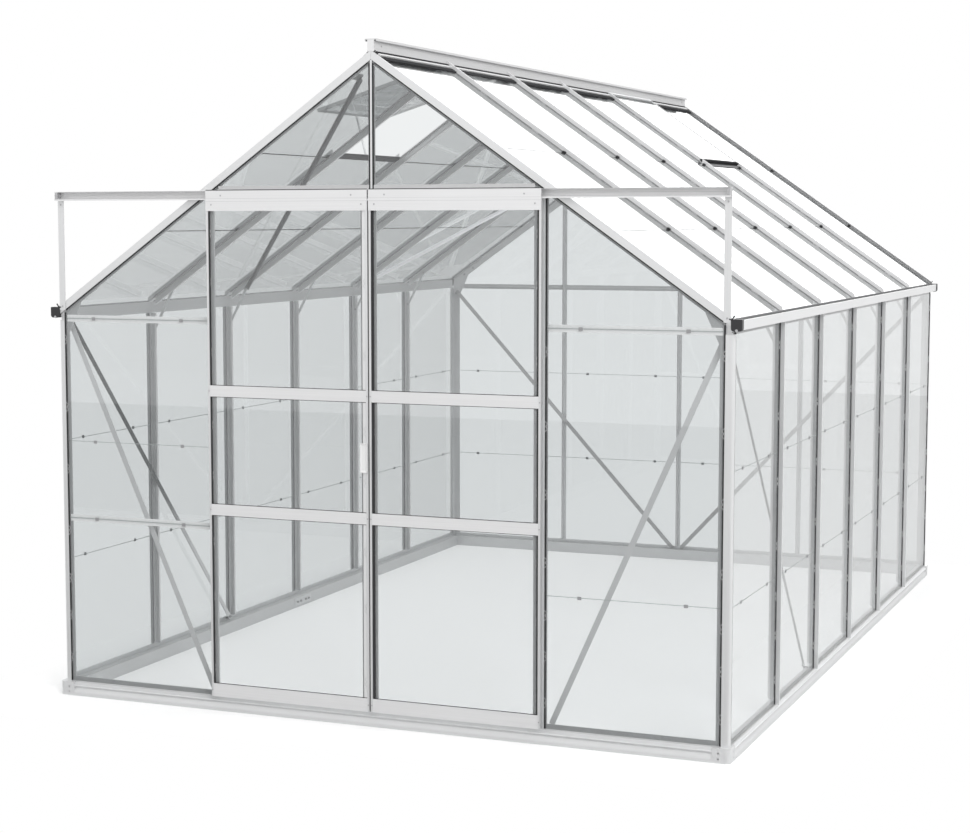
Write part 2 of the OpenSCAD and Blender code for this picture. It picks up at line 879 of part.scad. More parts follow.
module left_door_stiles() { at_left() right_door_stiles(); }
module left_door_rails() { at_left() right_door_rails(); }
module left_door_header() { at_left() right_door_header(); }
module left_door_glass() { at_left() right_door_glass(); }
module left_door_wheels() { at_left() right_door_wheels(); }
module left_door_handle() { color(handle_colour) at_left() place_door() door_handle(); }

kerb_front();
kerb_rear();
kerb_left();
kerb_right();
kerb_corners();
kerb_splices();
sill_bars();
corner_posts();
left_wall_bars();
right_wall_bars();
front_posts();
front_cross_bars();
rear_posts();
rear_cross_bars();
gable_rafters();
ridge_beam();
left_roof_bars();
right_roof_bars();
eave_beams();
gutter_floors();
gutter_faces();
gutter_end_caps();
gusset_plates();
knee_braces();
gable_braces();
side_wall_braces();
roof_braces();
door_rail();
rail_struts();
left_wall_glass();
right_wall_glass();
front_glass();
rear_glass();
left_roof_glass();
right_roof_glass();
vent_frames();
vent_glass();
vent_sills();
vent_stays();
left_door_stiles();
left_door_rails();
left_door_header();
left_door_glass();
left_door_wheels();
left_door_handle();
right_door_stiles();
right_door_rails();
right_door_header();
right_door_glass();
right_door_wheels();
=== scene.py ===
# %% [markdown]
# # A glass greenhouse on its kerb
#
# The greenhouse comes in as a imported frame: bars, glass, doors and braces at their real size and
# place, each on the body that it moves with. This lesson gives those pieces their finishes, and adds
# the small trim that the frame leaves out: seals, glazing clips, bolts, screws and the kerb's folds.
# Everything is in metres, with +Z up, the doors towards -Y and the width along X.

# %% Load the frame and note its box
import bmesh
import bpy
import json
from math import cos, pi, radians, sin, tan
from mathutils import Matrix, Vector


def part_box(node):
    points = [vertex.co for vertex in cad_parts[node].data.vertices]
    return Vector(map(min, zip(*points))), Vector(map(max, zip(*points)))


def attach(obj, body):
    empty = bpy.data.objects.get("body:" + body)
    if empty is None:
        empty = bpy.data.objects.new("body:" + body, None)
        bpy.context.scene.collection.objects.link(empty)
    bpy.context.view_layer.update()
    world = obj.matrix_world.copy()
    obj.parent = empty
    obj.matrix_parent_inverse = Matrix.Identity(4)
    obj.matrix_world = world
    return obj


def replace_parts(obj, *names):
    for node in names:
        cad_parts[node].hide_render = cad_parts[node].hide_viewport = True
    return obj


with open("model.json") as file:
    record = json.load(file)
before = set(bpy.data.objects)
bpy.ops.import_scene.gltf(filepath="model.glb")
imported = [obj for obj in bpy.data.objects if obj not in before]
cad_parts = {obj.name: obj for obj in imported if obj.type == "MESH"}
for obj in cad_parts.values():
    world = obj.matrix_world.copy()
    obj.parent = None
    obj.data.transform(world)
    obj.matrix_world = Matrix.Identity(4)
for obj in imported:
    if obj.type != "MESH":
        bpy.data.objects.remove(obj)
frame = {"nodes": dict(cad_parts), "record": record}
nodes = frame["nodes"]
scene = bpy.context.scene
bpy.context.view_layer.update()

# %% [markdown]
# ## The main sizes
#
# Trim has to sit on the bars to the millimetre, so the places of walls, bars, sheets and doors are read
# from the frame, and only offsets from them and the spacing of small parts are typed in. A frame node may
# hold several bars, such as the five uprights of one wall. They are told apart by walking over each mesh
# from vertex to vertex: every island of joined vertices is one solid, and its box says where that bar is.
# A copy of the mesh is merged first, because the frame's own triangles are loose.

# %% Boxes of the solids in a node
MM = 0.001


def islands(node):
    mesh = bmesh.new()
    mesh.from_mesh(nodes[node].data)
    bmesh.ops.remove_doubles(mesh, verts=mesh.verts, dist=0.01 * MM)
    found, seen = [], set()
    for start in mesh.verts:
        if start in seen:
            continue
        seen.add(start)
        group, queue = [], [start]
        while queue:
            vert = queue.pop()
            group.append(vert.co.copy())
            for edge in vert.link_edges:
                other = edge.other_vert(vert)
                if other not in seen:
                    seen.add(other)
                    queue.append(other)
        found.append(group)
    mesh.free()
    return found


def solid_boxes(node):
    boxes = []
    for group in islands(node):
        low = Vector([min(co[axis] for co in group) for axis in range(3)])
        high = Vector([max(co[axis] for co in group) for axis in range(3)])
        boxes.append((low, high))
    return sorted(boxes, key=lambda box: (round(box[0].y, 4), round(box[0].x, 4), round(box[0].z, 4)))


kerb_low, kerb_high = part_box("kerb_corners")
kerb_top = kerb_high.z
wall_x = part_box("corner_posts")[1].x
wall_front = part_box("corner_posts")[0].y
wall_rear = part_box("corner_posts")[1].y
print("kerb top", round(kerb_top, 4), "wall planes", [round(at, 4) for at in (wall_x, wall_front, wall_rear)])

# %% [markdown]
# ## Camera
#
# A building shows best from a standing person's height, a little to one side, so that the doors and
# one long wall are both in view. The focal length is long enough to keep the uprights straight. The
# camera stands in the frame's own metres, so its place is simply a position, and its aim is a turn
# about Z followed by a tilt.

# %% Camera
CAMERA_AT = Vector((2.926, -8.200, 1.772))
CAMERA_TURN = radians(23.003)
CAMERA_TILT = radians(5.598)
CAMERA_ROLL = radians(-0.093)
FOCAL_LENGTH = 75.02
SENSOR_WIDTH = 36
SIDEWAYS_SHIFT = 0.0491
FARTHEST_SEEN = 200
camera_data = bpy.data.cameras.new("camera")
camera_data.lens = FOCAL_LENGTH
camera_data.sensor_width = SENSOR_WIDTH
camera_data.shift_x = SIDEWAYS_SHIFT
camera_data.clip_end = FARTHEST_SEEN
camera = bpy.data.objects.new("camera", camera_data)
scene.collection.objects.link(camera)
camera.matrix_world = (
    Matrix.Translation(CAMERA_AT)
    @ Matrix.Rotation(CAMERA_TURN, 4, "Z")
    @ Matrix.Rotation(pi / 2 - CAMERA_TILT, 4, "X")
    @ Matrix.Rotation(CAMERA_ROLL, 4, "Z")
)
scene.camera = camera
print("camera at", [round(value, 3) for value in CAMERA_AT])

# %% [markdown]
# ## A helper for node trees
#
# Every material, group and world below is a small tree of shader nodes. Writing them takes three
# calls a node: make it, set its values, link its inputs. One helper does all three: a plain value is
# set on the socket, and another node's output is linked to it. Two short ones build on it, one for
# arithmetic on two values and one for a mix of two surfaces.

# %% Node helper
def put(tree, kind, inputs=None, **settings):
    made = tree.nodes.new(kind)
    for name, value in settings.items():
        setattr(made, name, value)
    for name, value in (inputs or {}).items():
        if isinstance(value, bpy.types.NodeSocket):
            tree.links.new(value, made.inputs[name])
        else:
            made.inputs[name].default_value = value
    return made


def math(tree, operation, first, second=0.0):
    made = put(tree, "ShaderNodeMath", {0: first, 1: second}, operation=operation)
    return made.outputs[0]


def blend(tree, factor, first, second):
    made = put(tree, "ShaderNodeMixShader", {0: factor, 1: first, 2: second})
    return made.outputs[0]


# %% [markdown]
# ## World
#
# Glass shows whatever surrounds it, so the surroundings matter more here than any lamp. The world is
# plain white for rays that look at it, straight, through a pane or in a reflection, and dimmer for the
# diffuse rays that gather its light, so that pale metal keeps its grey. A ray that went through one
# sheet and was mirrored by another behind it is let fade: sheets seen through sheets then stay apart.

# %% World
WHITE = (1, 1, 1, 1)
AMBIENT = 0.62
FADED = 0.12
FACES_PASSED = 2.5  # one sheet has two faces


def mirrored_behind_glass(tree, path):
    mirrored = math(tree, "MINIMUM", path["Glossy Depth"], 1.0)
    behind = math(tree, "GREATER_THAN", path["Transmission Depth"], FACES_PASSED)
    return math(tree, "MULTIPLY", mirrored, behind)


world = bpy.data.worlds.new("white_studio")
world.use_nodes = True
tree = world.node_tree
tree.nodes.clear()
path = put(tree, "ShaderNodeLightPath").outputs
looked_at = math(tree, "MAXIMUM", path["Is Camera Ray"], path["Is Glossy Ray"])
looked_at = math(tree, "MAXIMUM", looked_at, path["Is Transmission Ray"])
ambient = put(tree, "ShaderNodeBackground", {"Color": WHITE, "Strength": AMBIENT})
white = put(tree, "ShaderNodeBackground", {"Color": WHITE, "Strength": 1.0})
faded = put(tree, "ShaderNodeBackground", {"Color": WHITE, "Strength": FADED})
seen = blend(tree, mirrored_behind_glass(tree, path), white.outputs[0], faded.outputs[0])
surface = blend(tree, looked_at, ambient.outputs[0], seen)
put(tree, "ShaderNodeOutputWorld", {"Surface": surface})
scene.world = world
print("world ambient strength", AMBIENT)

# %% [markdown]
# ## Floor
#
# The floor is a pale studio floor that runs into the white background. Inside the greenhouse it is an
# ordinary diffuse surface and takes the shadow; outside the kerb it fades into plain white light, so that
# no horizon shows. Its reflection is another matter: upright panes mirror the floor in front of them
# up to about chest height and the bright room above that, and this step in tone is what makes sheets
# of glass readable. So a ray that has been mirrored sees the floor in front as a dim surface, and the
# floor beside the walls a little dimmed.

# %% Floor
FLOOR_REACH = 10.3  # past the gable walls
FADE_START = 0.03
FADE_END = 0.35
PAINT = (0.96, 0.96, 0.96, 1)
MIRRORED_FLOOR = 0.22
BESIDE_WALLS = 0.2  # share of the dimming that the floor beside the walls gets
floor_mesh = bmesh.new()
bmesh.ops.create_grid(floor_mesh, x_segments=2, y_segments=2, size=FLOOR_REACH + wall_rear)
floor_data = bpy.data.meshes.new("floor")
floor_mesh.to_mesh(floor_data)
floor_mesh.free()
floor = bpy.data.objects.new("floor", floor_data)
scene.collection.objects.link(floor)
floor_material = bpy.data.materials.new("studio_floor")
floor_material.use_nodes = True
tree = floor_material.node_tree
tree.nodes.clear()
where = put(tree, "ShaderNodeTexCoord").outputs["Object"]
size = put(tree, "ShaderNodeVectorMath", {0: where}, operation="ABSOLUTE").outputs[0]
beyond = put(tree, "ShaderNodeVectorMath", {0: size, 1: kerb_high}, operation="SUBTRACT").outputs[0]
beyond = put(tree, "ShaderNodeSeparateXYZ", {0: beyond}).outputs
distance = math(tree, "MAXIMUM", beyond["X"], beyond["Y"])
fade = put(
    tree,
    "ShaderNodeMapRange",
    {"Value": distance, "From Min": FADE_START, "From Max": FADE_END},
    interpolation_type="SMOOTHSTEP",
)
path = put(tree, "ShaderNodeLightPath").outputs
mirrored = math(tree, "MINIMUM", path["Glossy Depth"], 1.0)
depth = put(tree, "ShaderNodeSeparateXYZ", {0: where}).outputs["Y"]
in_front = math(tree, "LESS_THAN", depth, wall_front - FADE_START)
in_front = math(tree, "MAXIMUM", in_front, BESIDE_WALLS)
mirrored = math(tree, "MULTIPLY", mirrored, in_front)
mirrored = math(tree, "MAXIMUM", mirrored, mirrored_behind_glass(tree, path))
paint = put(tree, "ShaderNodeBsdfDiffuse", {"Color": PAINT}).outputs[0]
white = put(tree, "ShaderNodeEmission", {"Color": WHITE, "Strength": 1.0}).outputs[0]
dim = put(tree, "ShaderNodeEmission", {"Color": WHITE, "Strength": MIRRORED_FLOOR}).outputs[0]
seen = blend(tree, fade.outputs["Result"], paint, white)
surface = blend(tree, mirrored, seen, dim)
put(tree, "ShaderNodeOutputMaterial", {"Surface": surface})
floor_data.materials.append(floor_material)
print("floor half size", round(FLOOR_REACH + wall_rear, 2))

# %% [markdown]
# ## Lamps
#
# Three large soft boxes: the key stands high at the right of the camera, a wide one hangs overhead
# and a weak fill is at the left. Large lamps give the faint, wide shadows of a bright studio. Area
# lamps point down their own -Z, so each is turned with a track quaternion towards the greenhouse. A
# fourth one is only there to be mirrored: the near slope of the roof is seen at a very flat angle, where
# glass turns into a mirror, and a bright sheet far behind the greenhouse makes that slope gleam.

# %% Lamps
def soft_box(name, position, aim, size, power):
    data = bpy.data.lights.new(name, "AREA")
    data.shape = "RECTANGLE"
    data.size, data.size_y = size
    data.energy = power
    lamp = bpy.data.objects.new(name, data)
    scene.collection.objects.link(lamp)
    look = Vector(aim) - Vector(position)
    lamp.matrix_world = Matrix.Translation(position) @ look.to_track_quat("-Z", "Y").to_matrix().to_4x4()
    lamp.visible_camera = False
    lamp.visible_glossy = False
    lamp.visible_transmission = False
    print(name, "at", position, "power", power)
    return lamp


soft_box("key", (6.5, -7.5, 7.5), (0, 0, 1), (5, 5), 560)
soft_box("overhead", (0.5, 0.5, 8.5), (0, 0, 1), (7, 7), 420)
soft_box("fill", (-8, -6, 4), (0, 0, 1), (4, 4), 120)
sky = soft_box("rear_sky", (0.6, 21.0, 9.6), (0.3, 0, 2.0), (20, 13), 1400)
sky.visible_glossy = True
sky.visible_diffuse = False

# %% [markdown]
# ## A group for the metal finishes
#
# An extruded bar carries faint lines that the die drew along it, and a large bar is never quite even
# in tone. All the metal finishes share both effects, so they come from one shader node group, as
# Lines and Cloud. The lines are noise that is stretched along the bar: the material hands the group
# coordinates that run along the bar in X, and the group squeezes that axis.

# %% Group for drawn lines
def new_group(name, inputs, outputs):
    group = bpy.data.node_groups.new(name, "ShaderNodeTree")
    for label, kind, value in inputs:
        socket = group.interface.new_socket(label, in_out="INPUT", socket_type=kind)
        if value is not None:
            socket.default_value = value
    for label, kind in outputs:
        group.interface.new_socket(label, in_out="OUTPUT", socket_type=kind)
    return group


FLOAT, VECTOR = "NodeSocketFloat", "NodeSocketVector"
SQUEEZE = (0.012, 1, 1)
drawn_lines = new_group(
    "drawn_lines",
    [("Vector", VECTOR, None), ("Fineness", FLOAT, 260.0)],
    [("Lines", FLOAT), ("Cloud", FLOAT)],
)
start = put(drawn_lines, "NodeGroupInput").outputs
stretched = put(drawn_lines, "ShaderNodeMapping", {"Vector": start["Vector"], "Scale": SQUEEZE})
lines = put(
    drawn_lines,
    "ShaderNodeTexNoise",
    {"Vector": stretched.outputs[0], "Scale": start["Fineness"], "Detail": 2.0, "Roughness": 0.6},
)
cloud = put(drawn_lines, "ShaderNodeTexNoise", {"Vector": start["Vector"], "Scale": 2.3, "Detail": 3.0})
put(drawn_lines, "NodeGroupOutput", {"Lines": lines.outputs[0], "Cloud": cloud.outputs[0]})
print("groups:", [group.name for group in bpy.data.node_groups])

# %% [markdown]
# ## Mill-finish aluminium
#
# The bars are extruded aluminium, left plain or lightly anodised, so they are a satin grey: part
# mirror, part matt. A half metallic surface with a middle roughness gives that look. One material is
# made for each direction that bars run in, since the lines have to follow the bar: along X, Y, Z, or
# down the slope. For the slope the coordinates are folded with an absolute value first, so that one
# turn serves the left and the right side of the roof. The loose strips used as braces are lit
# differently at the front of the building and at the rear, so the recipe can also scale its tone along
# Y: this is painted light and shade, a lighter or darker copy of one metal.

# %% Aluminium
PITCH = radians(35)
ALONG = {
    "x": (0, 0, 0),
    "y": (0, 0, -pi / 2),
    "z": (0, pi / 2, 0),
    "slope": (0, -PITCH, 0),
}


LINES_SHARE, CLOUD_SHARE = 0.6, 0.4
DARKER, LIGHTER = 0.88, 1.06
ROUGHNESS_SPREAD = 0.07
LINE_STRENGTH, LINE_RELIEF = 0.12, 0.4 * MM
MIDDLE = 0.2  # the tone changes over this distance each side of the building's middle


def metal(name, tone, direction, roughness=0.42, metallic=0.55, rear_painted_light=1.0):
    material = bpy.data.materials.new(name)
    material.use_nodes = True
    tree = material.node_tree
    tree.nodes.clear()
    where = put(tree, "ShaderNodeTexCoord").outputs["Object"]
    if direction == "slope":
        where = put(tree, "ShaderNodeVectorMath", {0: where}, operation="ABSOLUTE").outputs[0]
    turned = put(tree, "ShaderNodeMapping", {"Vector": where, "Rotation": ALONG[direction]})
    grain = put(tree, "ShaderNodeGroup", node_tree=drawn_lines)
    tree.links.new(turned.outputs[0], grain.inputs["Vector"])
    shade = math(tree, "MULTIPLY", grain.outputs["Lines"], LINES_SHARE)
    mixed = math(tree, "MULTIPLY_ADD", grain.outputs["Cloud"], CLOUD_SHARE)
    tree.links.new(shade, mixed.node.inputs[2])
    darker = tuple(DARKER * part for part in tone) + (1,)
    lighter = tuple(min(1.0, LIGHTER * part) for part in tone) + (1,)
    colour = put(tree, "ShaderNodeMix", {0: mixed, 6: darker, 7: lighter}, data_type="RGBA")
    # Painted light: the tone is scaled along Y, so a brace at the rear comes out lighter or darker than at
    # the front.
    place_y = put(tree, "ShaderNodeSeparateXYZ", {0: where}).outputs["Y"]
    factor = put(
        tree, "ShaderNodeMapRange",
        {"Value": place_y, "From Min": -MIDDLE, "From Max": MIDDLE, "To Min": 1.0, "To Max": rear_painted_light},
    )
    colour = put(
        tree, "ShaderNodeVectorMath", {0: colour.outputs[2], "Scale": factor.outputs[0]}, operation="SCALE",
    )
    low_rough, high_rough = roughness - ROUGHNESS_SPREAD, roughness + ROUGHNESS_SPREAD
    rough = put(
        tree, "ShaderNodeMapRange",
        {"Value": grain.outputs["Lines"], "To Min": low_rough, "To Max": high_rough},
    )
    relief = {"Height": grain.outputs["Lines"], "Strength": LINE_STRENGTH, "Distance": LINE_RELIEF}
    bump = put(tree, "ShaderNodeBump", relief)
    shader = put(
        tree, "ShaderNodeBsdfPrincipled",
        {
            "Base Color": colour.outputs[0], "Roughness": rough.outputs[0],
            "Metallic": metallic, "Normal": bump.outputs[0],
        },
    )
    put(tree, "ShaderNodeOutputMaterial", {"Surface": shader.outputs[0]})
    return material


ALUMINIUM = (0.80, 0.805, 0.81)
aluminium = {direction: metal("aluminium_" + direction, ALUMINIUM, direction) for direction in ALONG}
pale = metal("pale_rails", (0.82, 0.82, 0.825), "x", 0.45, 0.35)
matt_strip = metal("matt_strip", (0.97, 0.97, 0.97), "x", 0.5, 0.05)
# Painted light and shade: the gable braces are painted darker at the rear, and the roof braces are painted
# dark at the front and near white at the rear.
gable_brace_painted_shade = metal("gable_brace_painted_shade", (0.72, 0.72, 0.725), "z", 0.45, 0.15, 0.62)
roof_brace_painted_shade_and_highlight = metal("roof_brace_painted_shade_and_highlight", (0.27, 0.27, 0.275), "z", 0.45, 0.15, 3.6)
bright_strip = metal("bright_strip", (0.7, 0.705, 0.71), "z", 0.16, 0.95)
pale_slope = metal("pale_slope", (0.82, 0.82, 0.825), "slope", 0.5, 0.25)
ridge_metal = metal("ridge_metal", (0.62, 0.62, 0.625), "y", 0.55, 0.15)
# Painted shadow: the vent sills are near black for the shadow under the vents' lower edges, not for their
# metal.
vent_sill_painted_shadow = metal("painted_sill_shadow", (0.10, 0.10, 0.105), "x", 0.5, 0.4)
print("metal finishes:", sorted(aluminium))

# %% [markdown]
# ## Glass
#
# Horticultural glass is 3 mm float glass, clear with a slight grey-green cast. Each sheet is a real
# closed slab, so a Principled shader with full transmission bends and mirrors light at both faces by
# itself, and the tint is only its base colour. Lamps can't shine through a refracting slab without
# noise, so for shadow rays and for gathered daylight the sheet becomes a tinted transparent surface.

# %% Glass
PANE_TINT = (0.855, 0.873, 0.877, 1)
LAMP_TINT = (0.895, 0.899, 0.9, 1)
glass = bpy.data.materials.new("clear_glass")
glass.use_nodes = True
tree = glass.node_tree
tree.nodes.clear()
path = put(tree, "ShaderNodeLightPath").outputs
lamp_ray = math(tree, "MAXIMUM", path["Is Shadow Ray"], path["Is Diffuse Ray"])
sheet = put(
    tree, "ShaderNodeBsdfPrincipled",
    {"Base Color": PANE_TINT, "Roughness": 0.0, "IOR": 1.5, "Transmission Weight": 1.0},
).outputs[0]
clear = put(tree, "ShaderNodeBsdfTransparent", {"Color": LAMP_TINT}).outputs[0]
put(tree, "ShaderNodeOutputMaterial", {"Surface": blend(tree, lamp_ray, sheet, clear)})
print("glass tint", PANE_TINT)

# %% [markdown]
# ## Kerb metal and plastics
#
# The kerb is folded sheet with a more matt finish than the bars. The gutter caps and door wheels
# are black moulded plastic with a fine grain, the handle is smooth white plastic, and the
# seals are black rubber, greyer on the roof. A sheet's cut edge is a dim grey-green. Each of them is
# a blend between two close tones, low and high, over a noise that also gives a faint relief.

# %% Kerb metal and plastics
PLAIN_SPREAD = 0.06
PLAIN_RELIEF = 0.5 * MM


def plain(name, low, high, roughness, grain_scale, bump_strength, metallic=0.0, gloss=0.5):
    material = bpy.data.materials.new(name)
    material.use_nodes = True
    tree = material.node_tree
    tree.nodes.clear()
    where = put(tree, "ShaderNodeTexCoord").outputs["Object"]
    noise = put(tree, "ShaderNodeTexNoise", {"Vector": where, "Scale": grain_scale, "Detail": 3.0})
    grain = noise.outputs[0]
    colour = put(tree, "ShaderNodeMix", {0: grain, 6: low + (1,), 7: high + (1,)}, data_type="RGBA")
    low_rough, high_rough = roughness - PLAIN_SPREAD, roughness + PLAIN_SPREAD
    rough = put(tree, "ShaderNodeMapRange", {"Value": grain, "To Min": low_rough, "To Max": high_rough})
    relief = {"Height": grain, "Strength": bump_strength, "Distance": PLAIN_RELIEF}
    bump = put(tree, "ShaderNodeBump", relief)
    shader = put(
        tree, "ShaderNodeBsdfPrincipled",
        {
            "Base Color": colour.outputs[2], "Roughness": rough.outputs[0],
            "Metallic": metallic, "Normal": bump.outputs[0], "Specular IOR Level": gloss,
        },
    )
    put(tree, "ShaderNodeOutputMaterial", {"Surface": shader.outputs[0]})
    return material


kerb_metal = plain("kerb_metal", (0.66, 0.665, 0.67), (0.71, 0.715, 0.72), 0.5, 3.0, 0.02, 0.35)
black_plastic = plain("black_plastic", (0.02, 0.02, 0.022), (0.035, 0.035, 0.038), 0.45, 900.0, 0.15)
white_plastic = plain("white_plastic", (0.72, 0.72, 0.72), (0.77, 0.77, 0.77), 0.35, 400.0, 0.05)
rubber = plain("seal_rubber", (0.03, 0.03, 0.032), (0.06, 0.06, 0.062), 0.9, 600.0, 0.2, 0.0, 0.0)
grey_rubber = plain("roof_rubber", (0.22, 0.22, 0.225), (0.30, 0.30, 0.305), 0.8, 600.0, 0.2, 0.0, 0.15)
sheet_edge = plain("sheet_edge", (0.30, 0.33, 0.33), (0.36, 0.39, 0.39), 0.4, 40.0, 0.02)
print("materials:", len(bpy.data.materials))

# %% [markdown]
# ## Finishes on the frame's own nodes
#
# A frame node keeps its mesh and only swaps the material in its slots. The node's slot in the record
# says what it is made of, and for the bars its name says which way it runs. A few nodes have a finish
# of their own.

# %% Give every node its finish
RUNS = {
    "x": [
        "sill_bars", "front_cross_bars", "rear_cross_bars", "door_rail",
        "left_door_rails", "right_door_rails", "left_door_header", "right_door_header", "vent_sills",
    ],
    "y": ["kerb_splices", "ridge_beam", "eave_beams", "gutter_floors", "gutter_faces"],
    "slope": ["gable_rafters", "left_roof_bars", "right_roof_bars", "vent_frames", "vent_stays"],
}
direction_of = {name: direction for direction, names in RUNS.items() for name in names}
PALE_NODES = (
    "door_rail", "left_door_rails", "right_door_rails", "left_door_header", "right_door_header",
)
SPECIAL = {name: pale for name in PALE_NODES} | {
    "front_cross_bars": matt_strip,
    "gable_braces": gable_brace_painted_shade,
    "roof_braces": roof_brace_painted_shade_and_highlight,
    "side_wall_braces": bright_strip,
    "right_roof_bars": pale_slope,
    "ridge_beam": ridge_metal,
    "vent_sills": vent_sill_painted_shadow,
}
BY_SLOT = {
    "kerb": kerb_metal, "glass": glass, "black_plastic": black_plastic, "white_plastic": white_plastic,
}
for part in frame["record"]["subparts"]:
    name, slot = part["node"], part["material_slot"]
    finish = SPECIAL.get(name) or BY_SLOT.get(slot) or aluminium[direction_of.get(name, "z")]
    for holder in nodes[name].material_slots:
        holder.material = finish

# %% [markdown]
# ## Helpers for the trim
#
# Nearly all the trim is straight: strips, plates, wires and bolts. A unit cube from bmesh, stretched and
# turned by one matrix, makes a bar between any two points, and a capped cone makes a bolt or, with its
# far end narrower, the head of a screw. Like pieces go into one mesh, so that a kind of trim is one
# object on each body. Every piece is made in place, with its object at the origin.

# %% Bars, bolts and pieces
def box_in(mesh, low, high):
    low, high = Vector(low), Vector(high)
    size = Matrix.Diagonal((*(high - low), 1))
    bmesh.ops.create_cube(mesh, size=1, matrix=Matrix.Translation((low + high) / 2) @ size)


def axes_along(run, side):
    first = run.normalized()
    second = (side - side.dot(first) * first).normalized()
    return Matrix((first, second, first.cross(second))).transposed().to_4x4()


def bar_in(mesh, start, end, width, depth, side):
    start, end, side = Vector(start), Vector(end), Vector(side)
    run = end - start
    size = Matrix.Diagonal((run.length, width, depth, 1))
    place = Matrix.Translation((start + end) / 2)
    bmesh.ops.create_cube(mesh, size=1, matrix=place @ axes_along(run, side) @ size)


def round_in(mesh, start, end, radius, sides, tip=None):
    start, end = Vector(start), Vector(end)
    run = end - start
    turn = run.to_track_quat("Z", "Y").to_matrix().to_4x4()
    bmesh.ops.create_cone(
        mesh, cap_ends=True, segments=sides, radius1=radius, radius2=radius if tip is None else tip,
        depth=run.length, matrix=Matrix.Translation((start + end) / 2) @ turn,
    )


def add_piece(name, mesh, material, body):
    bmesh.ops.recalc_face_normals(mesh, faces=mesh.faces)
    data = bpy.data.meshes.new(name)
    mesh.to_mesh(data)
    mesh.free()
    data.materials.append(material)
    made = bpy.data.objects.new(name, data)
    scene.collection.objects.link(made)
    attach(made, body)
    print(name, "on", body, "faces:", len(data.polygons))
    return made


def middle(box):
    return (box[0] + box[1]) / 2


X, Y, Z = Vector((1, 0, 0)), Vector((0, 1, 0)), Vector((0, 0, 1))
SIDES = (-1, 1)
ENDS = ((wall_front, 1), (wall_rear, -1))

# %% [markdown]
# ## The section of a glazing bar
#
# These few sizes of the bars are shared by all the trim: how wide the nib is, how far behind a wall's
# outer plane the glass lies, and where the edges of the corner posts and rafters are. The roof's outer
# surface falls from its apex at the pitch, so a point on it needs only its distance from the middle and
# its depth below that surface. Where the sheets of a wall meet is read from the sheets themselves.

# %% Shared sizes
NIB = 7 * MM
PANE_BACK = 3 * MM
SHEET_GAP = 2 * MM
CORNER_EDGE = 27 * MM
RAFTER_FACE = 25 * MM
EAVE_OVER_POSTS = 49 * MM
eave_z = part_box("corner_posts")[1].z + EAVE_OVER_POSTS
apex_z = eave_z + wall_x * tan(PITCH)
ridge_half = 12.5 * MM
bar_ys = sorted({round(middle(box).y, 5) for box in solid_boxes("right_wall_bars")})
post_x = max(abs(middle(box).x) for box in solid_boxes("front_posts"))
trough_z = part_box("gutter_floors")[0].z
sheet_tops = sorted({round(high.z, 4) for low, high in solid_boxes("right_wall_glass")})
joints_z = [top + SHEET_GAP / 2 for top in sheet_tops[:-1]]


def roof_z(x, depth=0.0):
    return apex_z - abs(x) * tan(PITCH) - depth / cos(PITCH)


def slope_point(side, x, y, depth=0.0):
    return Vector((side * x, y, roof_z(x, depth)))


print("bars at", bar_ys, "eave", round(eave_z, 4), "apex", round(apex_z, 4), "joints at", joints_z)

# %% [markdown]
# ## Black seals
#
# A black rubber strip lies on the glass beside every upright bar and under the rafters. From outside it
# is the dark line beside each bright nib, and it does more for the look of the walls than any bolt. It
# could be painted into the bar's material, but a strip with its own thickness also reads from the side,
# where it stands on the glass against the nib.

# %% Seals on the walls and gables
SEAL_W = 5.5 * MM
SEAL_H = 2.0 * MM
low_z = kerb_top + 2 * MM
top_z = trough_z - 4 * MM
seals = bmesh.new()
for side in SIDES:
    glass_face = side * (wall_x - PANE_BACK)
    outer = side * (wall_x - PANE_BACK + SEAL_H)
    edges = [(y, turn) for y in bar_ys for turn in SIDES]
    edges += [(wall_front + CORNER_EDGE - NIB / 2, 1), (wall_rear - CORNER_EDGE + NIB / 2, -1)]
    for y, turn in edges:
        inner_y, outer_y = y + turn * NIB / 2, y + turn * (NIB / 2 + SEAL_W)
        low = (min(glass_face, outer), min(inner_y, outer_y), low_z)
        high = (max(glass_face, outer), max(inner_y, outer_y), top_z)
        box_in(seals, low, high)


def gable_seal(mesh, plane, inward, x, turn, z_from):
    near, far = x + turn * NIB / 2, x + turn * (NIB / 2 + SEAL_W)
    z_to = roof_z(max(abs(near), abs(far)), RAFTER_FACE + 6 * MM)
    y_face, y_out = plane + inward * PANE_BACK, plane + inward * (PANE_BACK - SEAL_H)
    low = (min(near, far), min(y_face, y_out), z_from)
    high = (max(near, far), max(y_face, y_out), z_to)
    box_in(mesh, low, high)


head_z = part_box("door_rail")[1].z
under_rafter = RAFTER_FACE + 2 * MM
RAFTER_SEAL_BACK = 1.6 * MM
for plane, inward in ENDS:
    for side in SIDES:
        gable_seal(seals, plane, inward, side * (wall_x - CORNER_EDGE + NIB / 2), -side, low_z)
        gable_seal(seals, plane, inward, side * post_x, side, low_z)
        foot_z = head_z if plane == wall_front else low_z
        gable_seal(seals, plane, inward, side * post_x, -side, foot_z)
        gable_seal(seals, plane, inward, 0, side, foot_z)
        seal_y = plane + inward * RAFTER_SEAL_BACK
        start = slope_point(side, 14 * MM, seal_y, under_rafter)
        end = slope_point(side, wall_x - 34 * MM, seal_y, under_rafter)
        bar_in(seals, start, end, 2.6 * MM, 4 * MM, Y)
add_piece("wall_seals", seals, rubber, "frame")

# %% [markdown]
# ## Flanges of the corner posts
#
# At the corners a flat flange carries on behind the glass, wider than the seal, and shows as a grey
# band beside the black line.

